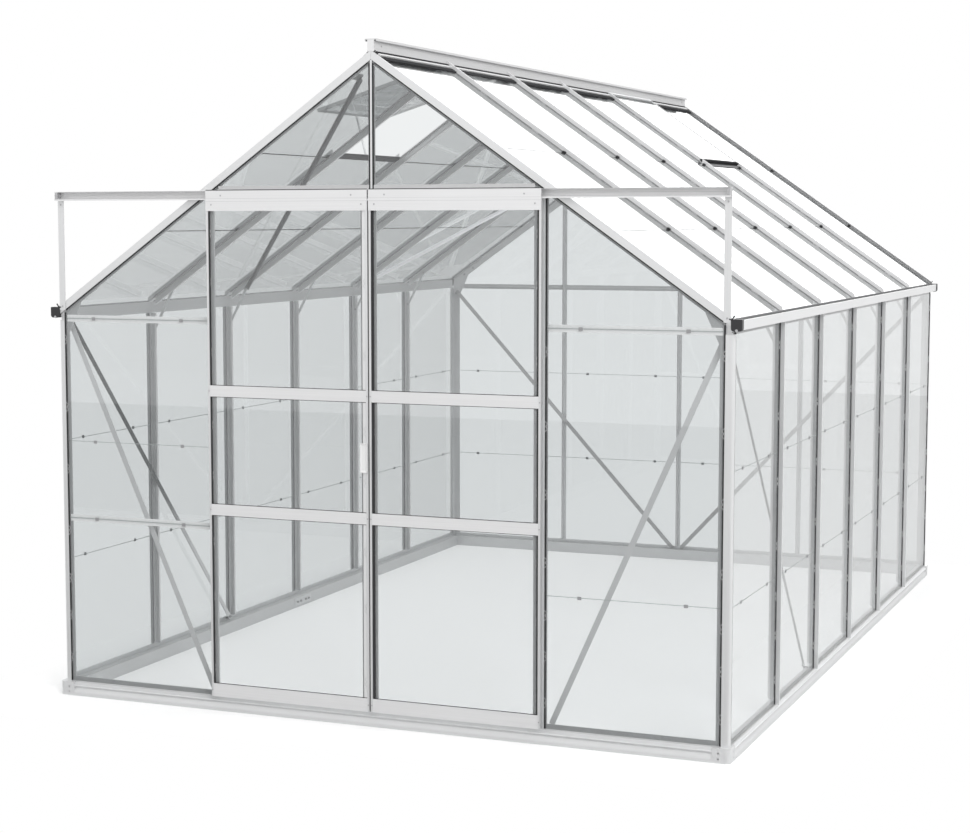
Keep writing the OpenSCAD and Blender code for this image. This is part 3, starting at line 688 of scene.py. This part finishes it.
# %% Corner flanges
FLANGE_W = 19 * MM
FLANGE_FRONT, FLANGE_BACK = 6.2 * MM, 8.2 * MM
flange_top = top_z - 30 * MM
flanges = bmesh.new()
for side in SIDES:
    for plane, inward in ENDS:
        x0, x1 = sorted((side * (wall_x - CORNER_EDGE), side * (wall_x - CORNER_EDGE - FLANGE_W)))
        y0, y1 = sorted((plane + inward * FLANGE_FRONT, plane + inward * FLANGE_BACK))
        box_in(flanges, (x0, y0, low_z), (x1, y1, flange_top))
        x0, x1 = sorted((side * (wall_x - FLANGE_FRONT), side * (wall_x - FLANGE_BACK)))
        y0, y1 = sorted((plane + inward * CORNER_EDGE, plane + inward * (CORNER_EDGE + FLANGE_W)))
        box_in(flanges, (x0, y0, low_z), (x1, y1, flange_top))
add_piece("corner_flanges", flanges, aluminium["z"], "frame")

# %% [markdown]
# ## Inner channels of the bars
#
# Inside, each bar's web ends in two pairs of small lips that form the channel for the bolt heads: fine
# light and dark lines that run the length of every bar. A thin grey gasket shows beside the flange,
# between the metal and the glass. On the roof the same lines run down the slope.

# %% Channel lips and gaskets
WEB_END = 30.4 * MM
LIP_REACH = (1.2 * MM, 5.5 * MM)
LIPS_BACK = ((WEB_END, WEB_END - 2 * MM), (WEB_END - 6 * MM, WEB_END - 7.5 * MM))
ROOF_LIPS = ((WEB_END - 1 * MM, 2 * MM), (WEB_END - 6.8 * MM, 1.5 * MM))
lip_foot, lip_head = kerb_top + 26 * MM, top_z - 10 * MM
near_ridge, near_eave = 0.05, wall_x - 0.03
lips = bmesh.new()
gaskets = bmesh.new()
for side in SIDES:
    for y in bar_ys:
        for turn in SIDES:
            y0, y1 = sorted(y + turn * reach for reach in LIP_REACH)
            for backs in LIPS_BACK:
                x0, x1 = sorted(side * (wall_x - back) for back in backs)
                box_in(lips, (x0, y0, lip_foot), (x1, y1, lip_head))
            x0, x1 = sorted((side * (wall_x - 6 * MM), side * (wall_x - 8.8 * MM)))
            y0, y1 = sorted((y + turn * 12.5 * MM, y + turn * 14 * MM))
            box_in(gaskets, (x0, y0, lip_foot), (x1, y1, lip_head))
            for depth, thick in ROOF_LIPS:
                mid_y = y + turn * 3.3 * MM
                start = slope_point(side, near_ridge, mid_y, depth)
                end = slope_point(side, near_eave, mid_y, depth)
                bar_in(lips, start, end, 4.3 * MM, thick, Y)
            start = slope_point(side, near_ridge, y + turn * 13.2 * MM, 7.4 * MM)
            end = slope_point(side, near_eave, y + turn * 13.2 * MM, 7.4 * MM)
            bar_in(gaskets, start, end, 1.5 * MM, 2.8 * MM, Y)
add_piece("channel_lips", lips, pale, "frame")
add_piece("inner_gaskets", gaskets, grey_rubber, "frame")

# %% [markdown]
# ## Seals on the roof
#
# On the roof greyer strips lie beside the fins. At the ridge the top edge of the glass is held in a slim
# rail, and black strips above and below it paint the shade in the gap under the ridge beam: the strong
# dark double line there. The rail and the strips are left out where a vent hangs on its hinge.

# %% Roof seals and the ridge rail
VENT_FOOT_X, RIDGE_FOOT_X = 0.475, 0.045
SEAL_SINK = PANE_BACK - 1.2 * MM
vent_boxes = solid_boxes("vent_frames")
bay_edges = [wall_front + NIB] + bar_ys + [wall_rear - NIB]
bays = list(zip(bay_edges, bay_edges[1:]))


def in_vent(side, y):
    return any(box[0].y < y < box[1].y and middle(box).x * side > 0 for box in vent_boxes)


def down_slope(side):
    return Vector((side * cos(PITCH), 0, -sin(PITCH)))


roof_seals = bmesh.new()
ridge_painted_shade = bmesh.new()
ridge_rails = bmesh.new()
# The black strips under the ridge are painted shade; the rail between them is metal.
# The mesh, the distance from the middle, the width and the rise of each strip under the ridge
RIDGE_STRIPS = (
    (ridge_painted_shade, 16 * MM, 8 * MM, 9 * MM),
    (ridge_rails, 26 * MM, 11 * MM, 8 * MM),
    (ridge_painted_shade, 42 * MM, 20 * MM, 5 * MM),
)
for side in SIDES:
    for y in bar_ys:
        for turn in SIDES:
            seat = y + turn * (NIB / 2 + 1.6 * MM)
            start = slope_point(side, VENT_FOOT_X if in_vent(side, seat) else RIDGE_FOOT_X, seat, SEAL_SINK)
            end = slope_point(side, wall_x, seat, SEAL_SINK)
            bar_in(roof_seals, start, end, 3 * MM, 2 * MM, Y)
    for first, second in bays:
        if in_vent(side, (first + second) / 2):
            continue
        y0, y1 = first + NIB / 2, second - NIB / 2
        for target, x, width, rise in RIDGE_STRIPS:
            depth = PANE_BACK - rise / 2
            start, end = slope_point(side, x, y0, depth), slope_point(side, x, y1, depth)
            bar_in(target, start, end, width, rise, down_slope(side))
add_piece("ridge_painted_shade", ridge_painted_shade, rubber, "frame")
add_piece("roof_seals", roof_seals, grey_rubber, "frame")
add_piece("ridge_rails", ridge_rails, ridge_metal, "frame")

# %% [markdown]
# ## Verges and the painted shadow under the shut vent
#
# The rear edges of the roof are closed by a raised strip with a grey seal on its inner side. Below the
# lower rail of the vent that is shut, a wide black strip paints the shadow under the vent's edge.

# %% Verges and vent shadow
VERGE_RISE = 4 * MM
VENT_SHADOW_RISE = 5 * MM
verges = bmesh.new()
verge_seals = bmesh.new()
verge_y = wall_rear - 7 * MM
for side in SIDES:
    start = slope_point(side, 0.022, verge_y, -VERGE_RISE)
    end = slope_point(side, wall_x - 2 * MM, verge_y, -VERGE_RISE)
    bar_in(verges, start, end, 9 * MM, 10 * MM, Y)
    bar_in(verge_seals, start - Y * 6.5 * MM, end - Y * 6.5 * MM, 4 * MM, 6 * MM, Y)
shut = [box for box in vent_boxes if middle(box).x > 0]
vent_shadow_x = max(box[1].x for box in shut) + 4 * MM
y0, y1 = min(box[0].y for box in shut) + 4 * MM, max(box[1].y for box in shut) - 4 * MM
start, end = slope_point(1, vent_shadow_x, y0, -VENT_SHADOW_RISE), slope_point(1, vent_shadow_x, y1, -VENT_SHADOW_RISE)
# A black strip paints the shadow under the shut vent's lower rail.
vent_painted_shadow = bmesh.new()
bar_in(vent_painted_shadow, start, end, 12 * MM, 14 * MM, down_slope(1))
add_piece("verge_strips", verges, pale_slope, "frame")
add_piece("verge_seals", verge_seals, grey_rubber, "frame")
add_piece("vent_painted_shadow", vent_painted_shadow, rubber, "frame")

# %% [markdown]
# ## Glazing clips
#
# Two kinds of clip hold horticultural glass. A W-shaped spring wire snaps under the nib and presses on
# the sheet, about every 20 cm. A small folded strip, twice in each joint, carries the upper sheet on the
# one below; its darker tone is painted shade. They are tiny and many, so each wire is four thin bars and
# each strip is two plates.

# %% Finishes and shapes of the clips
spring_steel = metal("spring_steel", (0.72, 0.72, 0.73), "y", 0.35, 0.5)
zinc = metal("zinc_fixings", (0.55, 0.55, 0.56), "y", 0.4, 0.6)
# Painted shade: a darker strip stands for the shadow inside each groove.
painted_groove_shade = metal("groove_painted_shade", (0.5, 0.5, 0.505), "x", 0.5, 0.4)
# The joint clips' dark tone is painted shade, darker than the clips' metal.
clip_metal_painted_shade = metal("joint_clip_painted_shade", (0.38, 0.38, 0.39), "y", 0.45, 0.4)
WIRE = 1.7 * MM
WIRE_LIFT = 1.2 * MM
WIRE_BENDS = ((0, -17), (10, -9), (2, 0), (10, 9), (0, 17))  # out from the nib and along it, in mm
HOOK_PLATES = ((3 * MM, 1.2 * MM), (-3 * MM, 0.7 * MM))  # along the sheet and off it


def wire_clip(mesh, at, out, along, normal):
    points = [at + out * (u * MM) + along * (v * MM) + normal * WIRE_LIFT for u, v in WIRE_BENDS]
    for start, end in zip(points, points[1:]):
        bar_in(mesh, start, end, WIRE, WIRE, normal)


def joint_clip(mesh, at, across, along, normal):
    for shift, lift in HOOK_PLATES:
        centre = at + along * shift + normal * lift
        bar_in(mesh, centre - across * 7 * MM, centre + across * 7 * MM, 5.5 * MM, 1.2 * MM, along)


print("clip finishes:", spring_steel.name, clip_metal_painted_shade.name)

# %% [markdown]
# ## Clips of the walls and gables
#
# On the side walls every bar has wires on both sides, and the corner posts have them on their inner
# side only. In the gables the wires sit beside the corner posts and the next posts inwards.

# %% Wall clips
WALL_CLIPS_Z = (0.14, 0.30, 0.44, 0.62, 0.85, 1.08, 1.33)
HOOK_SHARES = (0.22, 0.78)
CLIP_ROOM = 40 * MM
wires = bmesh.new()
hooks = bmesh.new()
front_edge, rear_edge = wall_front + CORNER_EDGE, wall_rear - CORNER_EDGE
for side in SIDES:
    normal = X * side
    face_x = side * (wall_x - PANE_BACK)
    for y in [front_edge - NIB / 2] + bar_ys + [rear_edge + NIB / 2]:
        for turn in SIDES:
            if not front_edge <= y + turn * CLIP_ROOM <= rear_edge:
                continue
            for z in WALL_CLIPS_Z:
                wire_clip(wires, Vector((face_x, y + turn * NIB / 2, z)), Y * turn, Z, normal)
    for first, second in bays:
        for z in joints_z:
            for share in HOOK_SHARES:
                at = Vector((face_x, first + (second - first) * share, z))
                joint_clip(hooks, at, Y, Z, normal)
for plane, inward in ENDS:
    face_y = plane + inward * PANE_BACK
    for side in SIDES:
        for x, turn in ((side * (wall_x - CORNER_EDGE + NIB / 2), -side), (side * post_x, side)):
            for z in WALL_CLIPS_Z:
                wire_clip(wires, Vector((x + turn * NIB / 2, face_y, z)), X * turn, Z, -Y * inward)
print("faces of wires and hooks:", len(wires.faces), len(hooks.faces))

# %% [markdown]
# ## Clips of the roof
#
# The roof has the same wires down its slope, left out where a vent lies. At each joint of the sheets a
# small black block sits beside the bar. The first bay has its block only at the rear side.

# %% Roof clips and blocks
SLOPE_CLIPS_X = (0.16, 0.36, 0.60, 0.78, 0.98, 1.18)
VENT_EDGE_X = 0.5
ROOF_JOINTS = (0.580, 1.060)  # distances down the slope
BLOCK_FRONT, BLOCK_REAR = 20 * MM, 14 * MM
blocks = bmesh.new()
for side in SIDES:
    normal = Vector((side * sin(PITCH), 0, cos(PITCH)))
    for y in bar_ys:
        for turn in SIDES:
            for x in SLOPE_CLIPS_X:
                if x < VENT_EDGE_X and in_vent(side, y + turn * 20 * MM):
                    continue
                at = slope_point(side, x, y + turn * NIB / 2, PANE_BACK)
                wire_clip(wires, at, Y * turn, down_slope(side), normal)
    for first, second in bays:
        places = [second - BLOCK_REAR]
        if first != bay_edges[0]:
            places.insert(0, first + BLOCK_FRONT)
        for along in ROOF_JOINTS:
            for y in places:
                at = slope_point(side, along * cos(PITCH), y, PANE_BACK - 3 * MM)
                bar_in(blocks, at - Y * 8 * MM, at + Y * 8 * MM, 11 * MM, 6 * MM, down_slope(side))
add_piece("roof_joint_blocks", blocks, rubber, "frame")

# %% [markdown]
# ## Edges of the sheets
#
# The cut edge of a sheet shows as a thin grey-green line at each joint. A strip fills the gap between
# each pair of sheets that lie one above the other, with two clips on it in the gables. Each front side
# panel shows one more line, as a thin strip on the sheet.

# %% Sheet edges
GABLE_SHARES = (0.2, 0.8)
WIDE_SHEET = 0.3
edges = bmesh.new()
for node in ("left_wall_glass", "right_wall_glass", "front_glass", "rear_glass"):
    sheets = solid_boxes(node)
    for lower in sheets:
        for upper in sheets:
            gap = upper[0].z - lower[1].z
            start, end = Vector(map(max, lower[0], upper[0])), Vector(map(min, lower[1], upper[1]))
            if not 0 < gap < 2 * SHEET_GAP or start.x >= end.x or start.y >= end.y:
                continue
            box_in(edges, (start.x, start.y, lower[1].z), (end.x, end.y, upper[0].z))
            if node in ("front_glass", "rear_glass") and end.x - start.x > WIDE_SHEET:
                inward = 1 if start.y < 0 else -1
                face_y = start.y if inward > 0 else end.y
                for share in GABLE_SHARES:
                    at = Vector((start.x + (end.x - start.x) * share, face_y, lower[1].z))
                    joint_clip(hooks, at, X, Z, -Y * inward)
face_y = wall_front + PANE_BACK
for side, z in ((-1, joints_z[1]), (1, joints_z[0])):
    x0, x1 = sorted((side * (post_x + 5 * MM), side * (wall_x - CORNER_EDGE)))
    box_in(edges, (x0, face_y - 0.8 * MM, z), (x1, face_y, z + SHEET_GAP))
    for share in GABLE_SHARES:
        joint_clip(hooks, Vector((x0 + (x1 - x0) * share, face_y, z)), X, Z, -Y)
add_piece("sheet_edges", edges, sheet_edge, "frame")
add_piece("wire_clips", wires, spring_steel, "frame")
add_piece("joint_clips", hooks, clip_metal_painted_shade, "frame")

# %% [markdown]
# ## Bolts on the braces and plates
#
# The bars are joined by small square-headed bolts that slide in the webs, with hexagon nuts on the
# inside. Each brace and plate on the walls, gables and kerb gets its nuts, placed from the frame's own
# box of that piece: a strip that leans from one corner of its box to the other has its bolts in those
# two corners.

# %% Nuts and bolt ends
NUT = 5.5 * MM
SMALL_NUT = 4.5 * MM
LONG_STRIP = 0.5
GUSSET_BOLTS_X = (1.150, 1.200)
nuts = bmesh.new()


def nut(mesh, at, axis, size=NUT):
    at, axis = Vector(at), Vector(axis)
    round_in(mesh, at, at + axis * 4.5 * MM, size, 6)
    round_in(mesh, at, at + axis * 7.5 * MM, size * 0.5, 8)


def facing_in(low, high):
    """For a plate across the width: its side, the way inwards, its inner face and its near and far X."""
    side = 1 if low.x + high.x > 0 else -1
    inward = 1 if low.y < 0 else -1
    return side, inward, high.y if inward > 0 else low.y, sorted((abs(low.x), abs(high.x)))


for low, high in solid_boxes("gable_braces"):
    side, inward, face, (inner_x, outer_x) = facing_in(low, high)
    if high.z - low.z > LONG_STRIP:
        nut(nuts, (side * (inner_x + 12 * MM), face, low.z + 14 * MM), Y * inward)
        nut(nuts, (side * (outer_x - 12 * MM), face, high.z - 14 * MM), Y * inward)
for low, high in solid_boxes("side_wall_braces"):
    side = 1 if low.x > 0 else -1
    face = low.x if side > 0 else high.x
    if high.z - low.z > LONG_STRIP:
        nut(nuts, (face, low.y + 12 * MM, high.z - 14 * MM), -X * side)
        nut(nuts, (face, high.y - 12 * MM, low.z + 14 * MM), -X * side)
for low, high in solid_boxes("knee_braces"):
    side = 1 if low.x > 0 else -1
    nearest = min(bar_ys, key=lambda y: abs(y - (low.y + high.y) / 2))
    inward = 1 if (low.y + high.y) / 2 > nearest else -1
    face = high.y if inward > 0 else low.y
    inner_x, outer_x = sorted((abs(low.x), abs(high.x)))
    nut(nuts, (side * (outer_x - 5 * MM), face, low.z + 6 * MM), Y * inward, SMALL_NUT)
    nut(nuts, (side * (inner_x + 5 * MM), face, high.z - 6 * MM), Y * inward, SMALL_NUT)
for low, high in solid_boxes("gusset_plates"):
    side, inward, face, _ = facing_in(low, high)
    for x in GUSSET_BOLTS_X:
        nut(nuts, (side * x, face, roof_z(x, 24 * MM)), Y * inward)
    nut(nuts, (side * (wall_x - 26 * MM), face, low.z + 12 * MM), Y * inward)
for low, high in solid_boxes("kerb_splices"):
    side = 1 if low.x > 0 else -1
    face = low.x if side > 0 else high.x
    for y in (low.y + 25 * MM, low.y + 55 * MM, high.y - 55 * MM, high.y - 25 * MM):
        nut(nuts, (face, y, kerb_top / 2), -X * side)
add_piece("brace_nuts", nuts, zinc, "frame")

# %% [markdown]
# ## The kerb's fold
#
# The kerb isn't a plain block: its top edge is rolled over into a ledge, and below the ledge the face
# steps back and swells out again to the ground. The frame's block has the right box, so each length is
# rebuilt inside it: a bmesh outline of the section, one face, extruded along the wall. The shadow under
# the rolled edge is then real.

# %% Kerb lengths
KERB_DEPTH = 50 * MM
LEDGE_FRONT, LEDGE_SIDE = 18 * MM, 8 * MM
NOSE = 4 * MM
NOSE_Z = 37.5 * MM
# The face below the rolled edge: inwards and up, in mm
KERB_FACE = ((0, 0), (0, 11), (1.5, 17), (4.5, 23), (6.5, 28), (7, 32))


def kerb_outline(ledge):
    points = [(inward * MM, up * MM) for inward, up in KERB_FACE]
    for step in range(7):
        angle = radians(-60 + 25 * step)
        points.append((NOSE - NOSE * cos(angle), NOSE_Z + NOSE * sin(angle)))
    return points + [(ledge, kerb_top - 2 * MM), (ledge, kerb_top), (KERB_DEPTH, kerb_top), (KERB_DEPTH, 0)]


def kerb_length(mesh, outline, place, start, end):
    """place(inward, up, along) gives a point; the section is extruded from start to end."""
    ring = [mesh.verts.new(place(inward, up, start)) for inward, up in outline]
    face = mesh.faces.new(ring)
    made = bmesh.ops.extrude_face_region(mesh, geom=[face])["geom"]
    moved = [item for item in made if isinstance(item, bmesh.types.BMVert)]
    shift = place(0, 0, end) - place(0, 0, start)
    bmesh.ops.translate(mesh, verts=moved, vec=shift)


for name in ("kerb_front", "kerb_rear", "kerb_left", "kerb_right"):
    kerb = bmesh.new()
    across = name in ("kerb_front", "kerb_rear")
    inward = 1 if name in ("kerb_front", "kerb_left") else -1
    outline = kerb_outline(LEDGE_FRONT if across else LEDGE_SIDE)
    for low, high in solid_boxes(name):
        outer = low if inward > 0 else high
        if across:
            kerb_length(kerb, outline, lambda u, v, s: Vector((s, outer.y + inward * u, v)), low.x, high.x)
        else:
            kerb_length(kerb, outline, lambda u, v, s: Vector((outer.x + inward * u, s, v)), low.y, high.y)
    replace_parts(add_piece(name + "_fold", kerb, kerb_metal, "frame"), name)

# %% [markdown]
# ## Screws of the kerb's corners and splices
#
# The corner pieces are held by two small pan-head screws on each face, and each splice by two bolts
# that show outside. A pan head is a very low cone.

# %% Kerb screws
screws = bmesh.new()


def pan_head(mesh, at, axis, radius=3.5 * MM, depth=1.2 * MM):
    at, axis = Vector(at), Vector(axis)
    round_in(mesh, at - axis * depth, at, radius, 12, radius * 0.75)


for side in SIDES:
    for plane, inward in ((kerb_low.y, 1), (kerb_high.y, -1)):
        for z in (14 * MM, 33 * MM):
            pan_head(screws, (side * (kerb_high.x - 40 * MM), plane, z), -Y * inward)
            pan_head(screws, (side * kerb_high.x, plane + inward * 45 * MM, z), X * side)
    for box in solid_boxes("kerb_splices"):
        if middle(box).x * side > 0:
            for y in (middle(box).y - 40 * MM, middle(box).y + 40 * MM):
                pan_head(screws, (side * kerb_high.x, y, 12 * MM), X * side, 4 * MM)
add_piece("kerb_screws", screws, zinc, "frame")

# %% [markdown]
# ## Door seals and screws
#
# Each door's glass sits behind its stiles with the same black seal, a strip of the same rubber runs down
# the edge where the doors meet, and the header plate is fixed with small screws near its ends. The left
# door's meeting stile has a pale cover strip over its glass edge, and the right one a wide black seal.
# These pieces ride on the doors, so they are made once for each door from that door's own boxes.

# %% Door trim
DOOR_NIB = 8 * MM
DOOR_CLIPS_Z = (0.16, 0.42, 0.62, 0.86, 1.04, 1.30, 1.55, 1.72)
MEETING_SEAL, STILE_SEAL = 9 * MM, 5 * MM
MEETING_ZONE = 0.1
# Radius at the foot and at the top of a screw's head, how deep it is sunk and how far it stands out
PLATE_SCREW = (3.6 * MM, 2.6 * MM, 0.6 * MM, 1.2 * MM)
STILE_SCREW = (3.0 * MM, 2.2 * MM, 0.5 * MM, 1.0 * MM)
STRUT_SCREW = (3.8 * MM, 2.8 * MM, 0.5 * MM, 1.5 * MM)
rail_rows = sorted({(round(low.z, 4), round(high.z, 4)) for low, high in solid_boxes("right_door_rails")})


def face_screw(mesh, x, y, z, sizes):
    radius, tip, sunk, proud = sizes
    round_in(mesh, (x, y + sunk, z), (x, y - proud, z), radius, 12, tip)


def add_door_seals(door, side, sheets, face_y, meeting, stiles):
    seals = bmesh.new()
    for low, high in sheets:
        for x, toward in ((low.x, 1), (high.x, -1)):
            meets = abs(x) < MEETING_ZONE
            if meets and side < 0:
                continue
            x0, x1 = sorted((x, x + toward * (MEETING_SEAL if meets else STILE_SEAL)))
            box_in(seals, (x0, face_y - 2.5 * MM, low.z), (x1, face_y, high.z))
        for z in (low.z, high.z - 2 * MM):
            box_in(seals, (low.x, face_y - 2 * MM, z), (high.x, face_y, z + 2 * MM))
    x0, x1 = sorted((side * (meeting - 1.2 * MM), side * meeting))
    box_in(seals, (x0, stiles[0].y + 6 * MM, stiles[0].z), (x1, stiles[0].y + 11 * MM, stiles[1].z))
    add_piece(door + "_seals", seals, rubber, door)


def add_door_screws(door, side, plate, meeting, outer, front_y):
    screws = bmesh.new()
    inner_x, outer_x = sorted((abs(plate[0].x), abs(plate[1].x)))
    low_row, high_row = plate[0].z + 22 * MM, plate[1].z - 18 * MM
    for x, z in (
        (inner_x + 22 * MM, low_row), (inner_x + 60 * MM, high_row),
        (outer_x - 22 * MM, low_row), (outer_x - 60 * MM, high_row),
    ):
        face_screw(screws, side * x, plate[0].y, z, PLATE_SCREW)
    for x in (meeting + 4 * MM, outer - 4 * MM):
        for low_z, high_z in rail_rows:
            face_screw(screws, side * x, front_y, (low_z + high_z) / 2, STILE_SCREW)
    add_piece(door + "_screws", screws, zinc, door)


for side, door in ((-1, "left_door"), (1, "right_door")):
    sheets = solid_boxes(door + "_glass")
    face_y = sheets[0][0].y
    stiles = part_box(door + "_stiles")
    meeting, outer = sorted((abs(stiles[0].x), abs(stiles[1].x)))
    if side < 0:
        cover = bmesh.new()
        for low, high in sheets:
            box_in(cover, (high.x - 12 * MM, face_y - 1.5 * MM, low.z), (high.x, face_y, high.z))
        add_piece("meeting_cover", cover, pale, door)
    add_door_seals(door, side, sheets, face_y, meeting, stiles)
    door_wires = bmesh.new()
    for x, turn in ((side * (meeting + DOOR_NIB), side), (side * (outer - DOOR_NIB), -side)):
        for z in DOOR_CLIPS_Z:
            wire_clip(door_wires, Vector((x, face_y, z)), X * turn, Z, -Y)
    add_piece(door + "_wire_clips", door_wires, spring_steel, door)
    add_door_screws(door, side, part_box(door + "_header"), meeting, outer, stiles[0].y)

# %% [markdown]
# ## Door handle
#
# The handle is a small moulded grip with rounded corners and a hollow for the fingers. It starts as a
# cube in the handle's box, its front face is inset and pushed in, and then every edge is bevelled. It
# stands for the frame's plain block.

# %% Handle
low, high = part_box("left_door_handle")
grip = bmesh.new()
box_in(grip, low, high)
grip.faces.ensure_lookup_table()
front = min(grip.faces, key=lambda face: face.calc_center_median().y)
bmesh.ops.inset_region(grip, faces=[front], thickness=5 * MM, depth=0)
bmesh.ops.translate(grip, verts=list(front.verts), vec=(0, 5 * MM, 0))
bmesh.ops.scale(
    grip, verts=list(front.verts), vec=(0.8, 1, 0.92), space=Matrix.Translation(-front.calc_center_median())
)
bmesh.ops.bevel(
    grip, geom=list(grip.edges), offset=2 * MM, affect="EDGES", segments=3, profile=0.5, material=-1,
)
handle = add_piece("handle_grip", grip, white_plastic, "left_door")
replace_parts(handle, "left_door_handle")

# %% [markdown]
# ## Gutter caps and outlets
#
# The moulded caps that close the gutters have bevelled corners, a small horn that hooks over the end
# of the roof, and a pale outlet mouth in the lower edge. Each cap is made again in its own box: a cube
# whose four edges along the gutter are bevelled, the lower two more than the upper two.

# %% Cap details
LOW_BEVEL, TOP_BEVEL = 9 * MM, 3 * MM
cap_trim = bmesh.new()
caps = bmesh.new()
outlets = bmesh.new()
for low, high in solid_boxes("gutter_end_caps"):
    cap = bmesh.new()
    box_in(cap, low, high)
    centre = (low + high) / 2
    for lower, offset in ((True, LOW_BEVEL), (False, TOP_BEVEL)):
        picked = [
            edge for edge in cap.edges
            if abs(edge.verts[0].co.y - edge.verts[1].co.y) > 1 * MM
            and (edge.verts[0].co.z < centre.z) == lower
            and min(abs(edge.verts[0].co.x - low.x), abs(edge.verts[0].co.x - high.x)) < 0.1 * MM
        ]
        bmesh.ops.bevel(
            cap, geom=picked, offset=offset, affect="EDGES", segments=3, profile=0.5, material=-1,
        )
    cap_data = bpy.data.meshes.new("cap")
    cap.to_mesh(cap_data)
    cap.free()
    caps.from_mesh(cap_data)
    bpy.data.meshes.remove(cap_data)
    side = 1 if low.x > 0 else -1
    inward = 1 if low.y < 0 else -1
    outer_y = low.y if inward > 0 else high.y
    inner_x = low.x if side > 0 else high.x
    start = Vector((inner_x + side * 2 * MM, outer_y + inward * 3 * MM, high.z - 2 * MM))
    bar_in(cap_trim, start, start + Vector((side * 10 * MM, 0, 14 * MM)), 3 * MM, 4 * MM, Y)
    bar_in(cap_trim, start, start + Vector((-side * 9 * MM, 0, 3 * MM)), 3 * MM, 4 * MM, Y)
    mouth = Vector((centre.x, outer_y - inward * 0.4 * MM, low.z + 3 * MM))
    round_in(outlets, mouth, mouth + Y * inward * 6 * MM, 4.5 * MM, 16)
add_piece("cap_horns", cap_trim, black_plastic, "frame")
add_piece("cap_outlets", outlets, zinc, "frame")
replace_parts(add_piece("bevelled_caps", caps, black_plastic, "frame"), "gutter_end_caps")

# %% [markdown]
# ## Door rail and header plates
#
# Small folded stops close the open ends of the door rail. Grooves run along the rail and the header
# plates; the shade in each groove is painted as a thin dark strip, almost flush with the face. A rubber
# lip on each plate's top edge closes the gap to the rail.

# %% Rail stops, grooves and lips
stops = bmesh.new()
low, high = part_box("door_rail")
for edge, side in ((low.x, -1), (high.x, 1)):
    x0, x1 = sorted((edge - side * 12 * MM, edge - side * 1 * MM))
    box_in(stops, (x0, low.y + 3 * MM, low.z + 3 * MM), (x1, high.y - 3 * MM, high.z - 3 * MM))
add_piece("rail_stops", stops, zinc, "frame")
# Each groove's height as a share of the plate's height, and its width
RAIL_GROOVES = ((0.96, 1.1 * MM), (0.55, 1.1 * MM), (0.2, 1.1 * MM))
HEADER_GROOVES = ((0.985, 1.1 * MM), (0.6, 0.5 * MM), (0.46, 0.6 * MM))
LIP = 2.4 * MM


def add_grooves(name, node, grooves, body):
    mesh = bmesh.new()
    low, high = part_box(node)
    for share, width in grooves:
        z = low.z + (high.z - low.z) * share
        box_in(mesh, (low.x + 1 * MM, low.y - 0.15 * MM, z), (high.x - 1 * MM, low.y + 0.5 * MM, z + width))
    add_piece(name, mesh, painted_groove_shade, body)


for door in ("left_door", "right_door"):
    add_grooves(door + "_header_lines", door + "_header", HEADER_GROOVES, door)
    low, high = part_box(door + "_header")
    lip = bmesh.new()
    box_in(lip, (low.x + 1 * MM, low.y + 0.3 * MM, high.z), (high.x - 1 * MM, low.y + 4 * MM, high.z + LIP))
    add_piece(door + "_top_lip", lip, rubber, door)
add_grooves("rail_lines", "door_rail", RAIL_GROOVES, "frame")

# %% [markdown]
# ## Head bar and eaves
#
# The head bar's lip holds the bottom edge of the gable's sheets, from the mullion to the rafters. A
# grey strip between each gutter and the roof's lower edge paints the shade inside the gutter's trough.

# %% Head bar's lips and eave shade strips
HEAD_LIP = 16 * MM
head_lips = bmesh.new()
lip_low = head_z + 0.6 * MM
lip_high = lip_low + HEAD_LIP
seal_z = roof_z(0, RAFTER_FACE + 6 * MM)
lip_reach = (seal_z - lip_high) / tan(PITCH)
for side in SIDES:
    x0, x1 = sorted((side * (NIB / 2 + SEAL_W), side * lip_reach))
    box_in(head_lips, (x0, wall_front + 0.8 * MM, lip_low), (x1, wall_front + 2.9 * MM, lip_high))
add_piece("head_lips", head_lips, ridge_metal, "frame")
# Painted shade: a grey strip stands for the shaded inside of each gutter's trough.
eave_painted_shade = bmesh.new()
gutter_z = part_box("gutter_faces")[1].z
y0, y1 = wall_front + 6 * MM, wall_rear - 6 * MM
for side in SIDES:
    x0, x1 = sorted((side * (wall_x - 4 * MM), side * (wall_x + 3 * MM)))
    box_in(eave_painted_shade, (x0, y0, gutter_z - 1 * MM), (x1, y1, gutter_z + 5 * MM))
add_piece("eave_painted_shade", eave_painted_shade, grey_rubber, "frame")

# %% [markdown]
# ## Ends of the ridge
#
# Flat plates close the ends of the ridge beam. Small screws hold them, and the door rail's uprights.

# %% End screws and ridge plates
end_screws = bmesh.new()
for low, high in solid_boxes("rail_struts"):
    for z in (low.z + 14 * MM, high.z - 14 * MM):
        face_screw(end_screws, (low.x + high.x) / 2, low.y, z, STRUT_SCREW)
low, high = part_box("ridge_beam")
for plane, inward in ENDS:
    for side in SIDES:
        at = Vector((side * (ridge_half + 0.5 * MM), plane + inward * 60 * MM, high.z - 22 * MM))
        round_in(end_screws, at - X * side * 1 * MM, at + X * side * 1.5 * MM, 3.6 * MM, 12, 2.6 * MM)
add_piece("end_screws", end_screws, zinc, "frame")
ridge_ends = bmesh.new()
for y in (low.y, high.y):
    box_in(ridge_ends, (-ridge_half, y - 1 * MM, apex_z - 4 * MM), (ridge_half, y + 1 * MM, high.z - 2 * MM))
add_piece("ridge_ends", ridge_ends, pale, "frame")

# %% [markdown]
# ## View settings
#
# The Standard view shows colours as they are written.

# %% Finish
scene.view_settings.view_transform = "Standard"
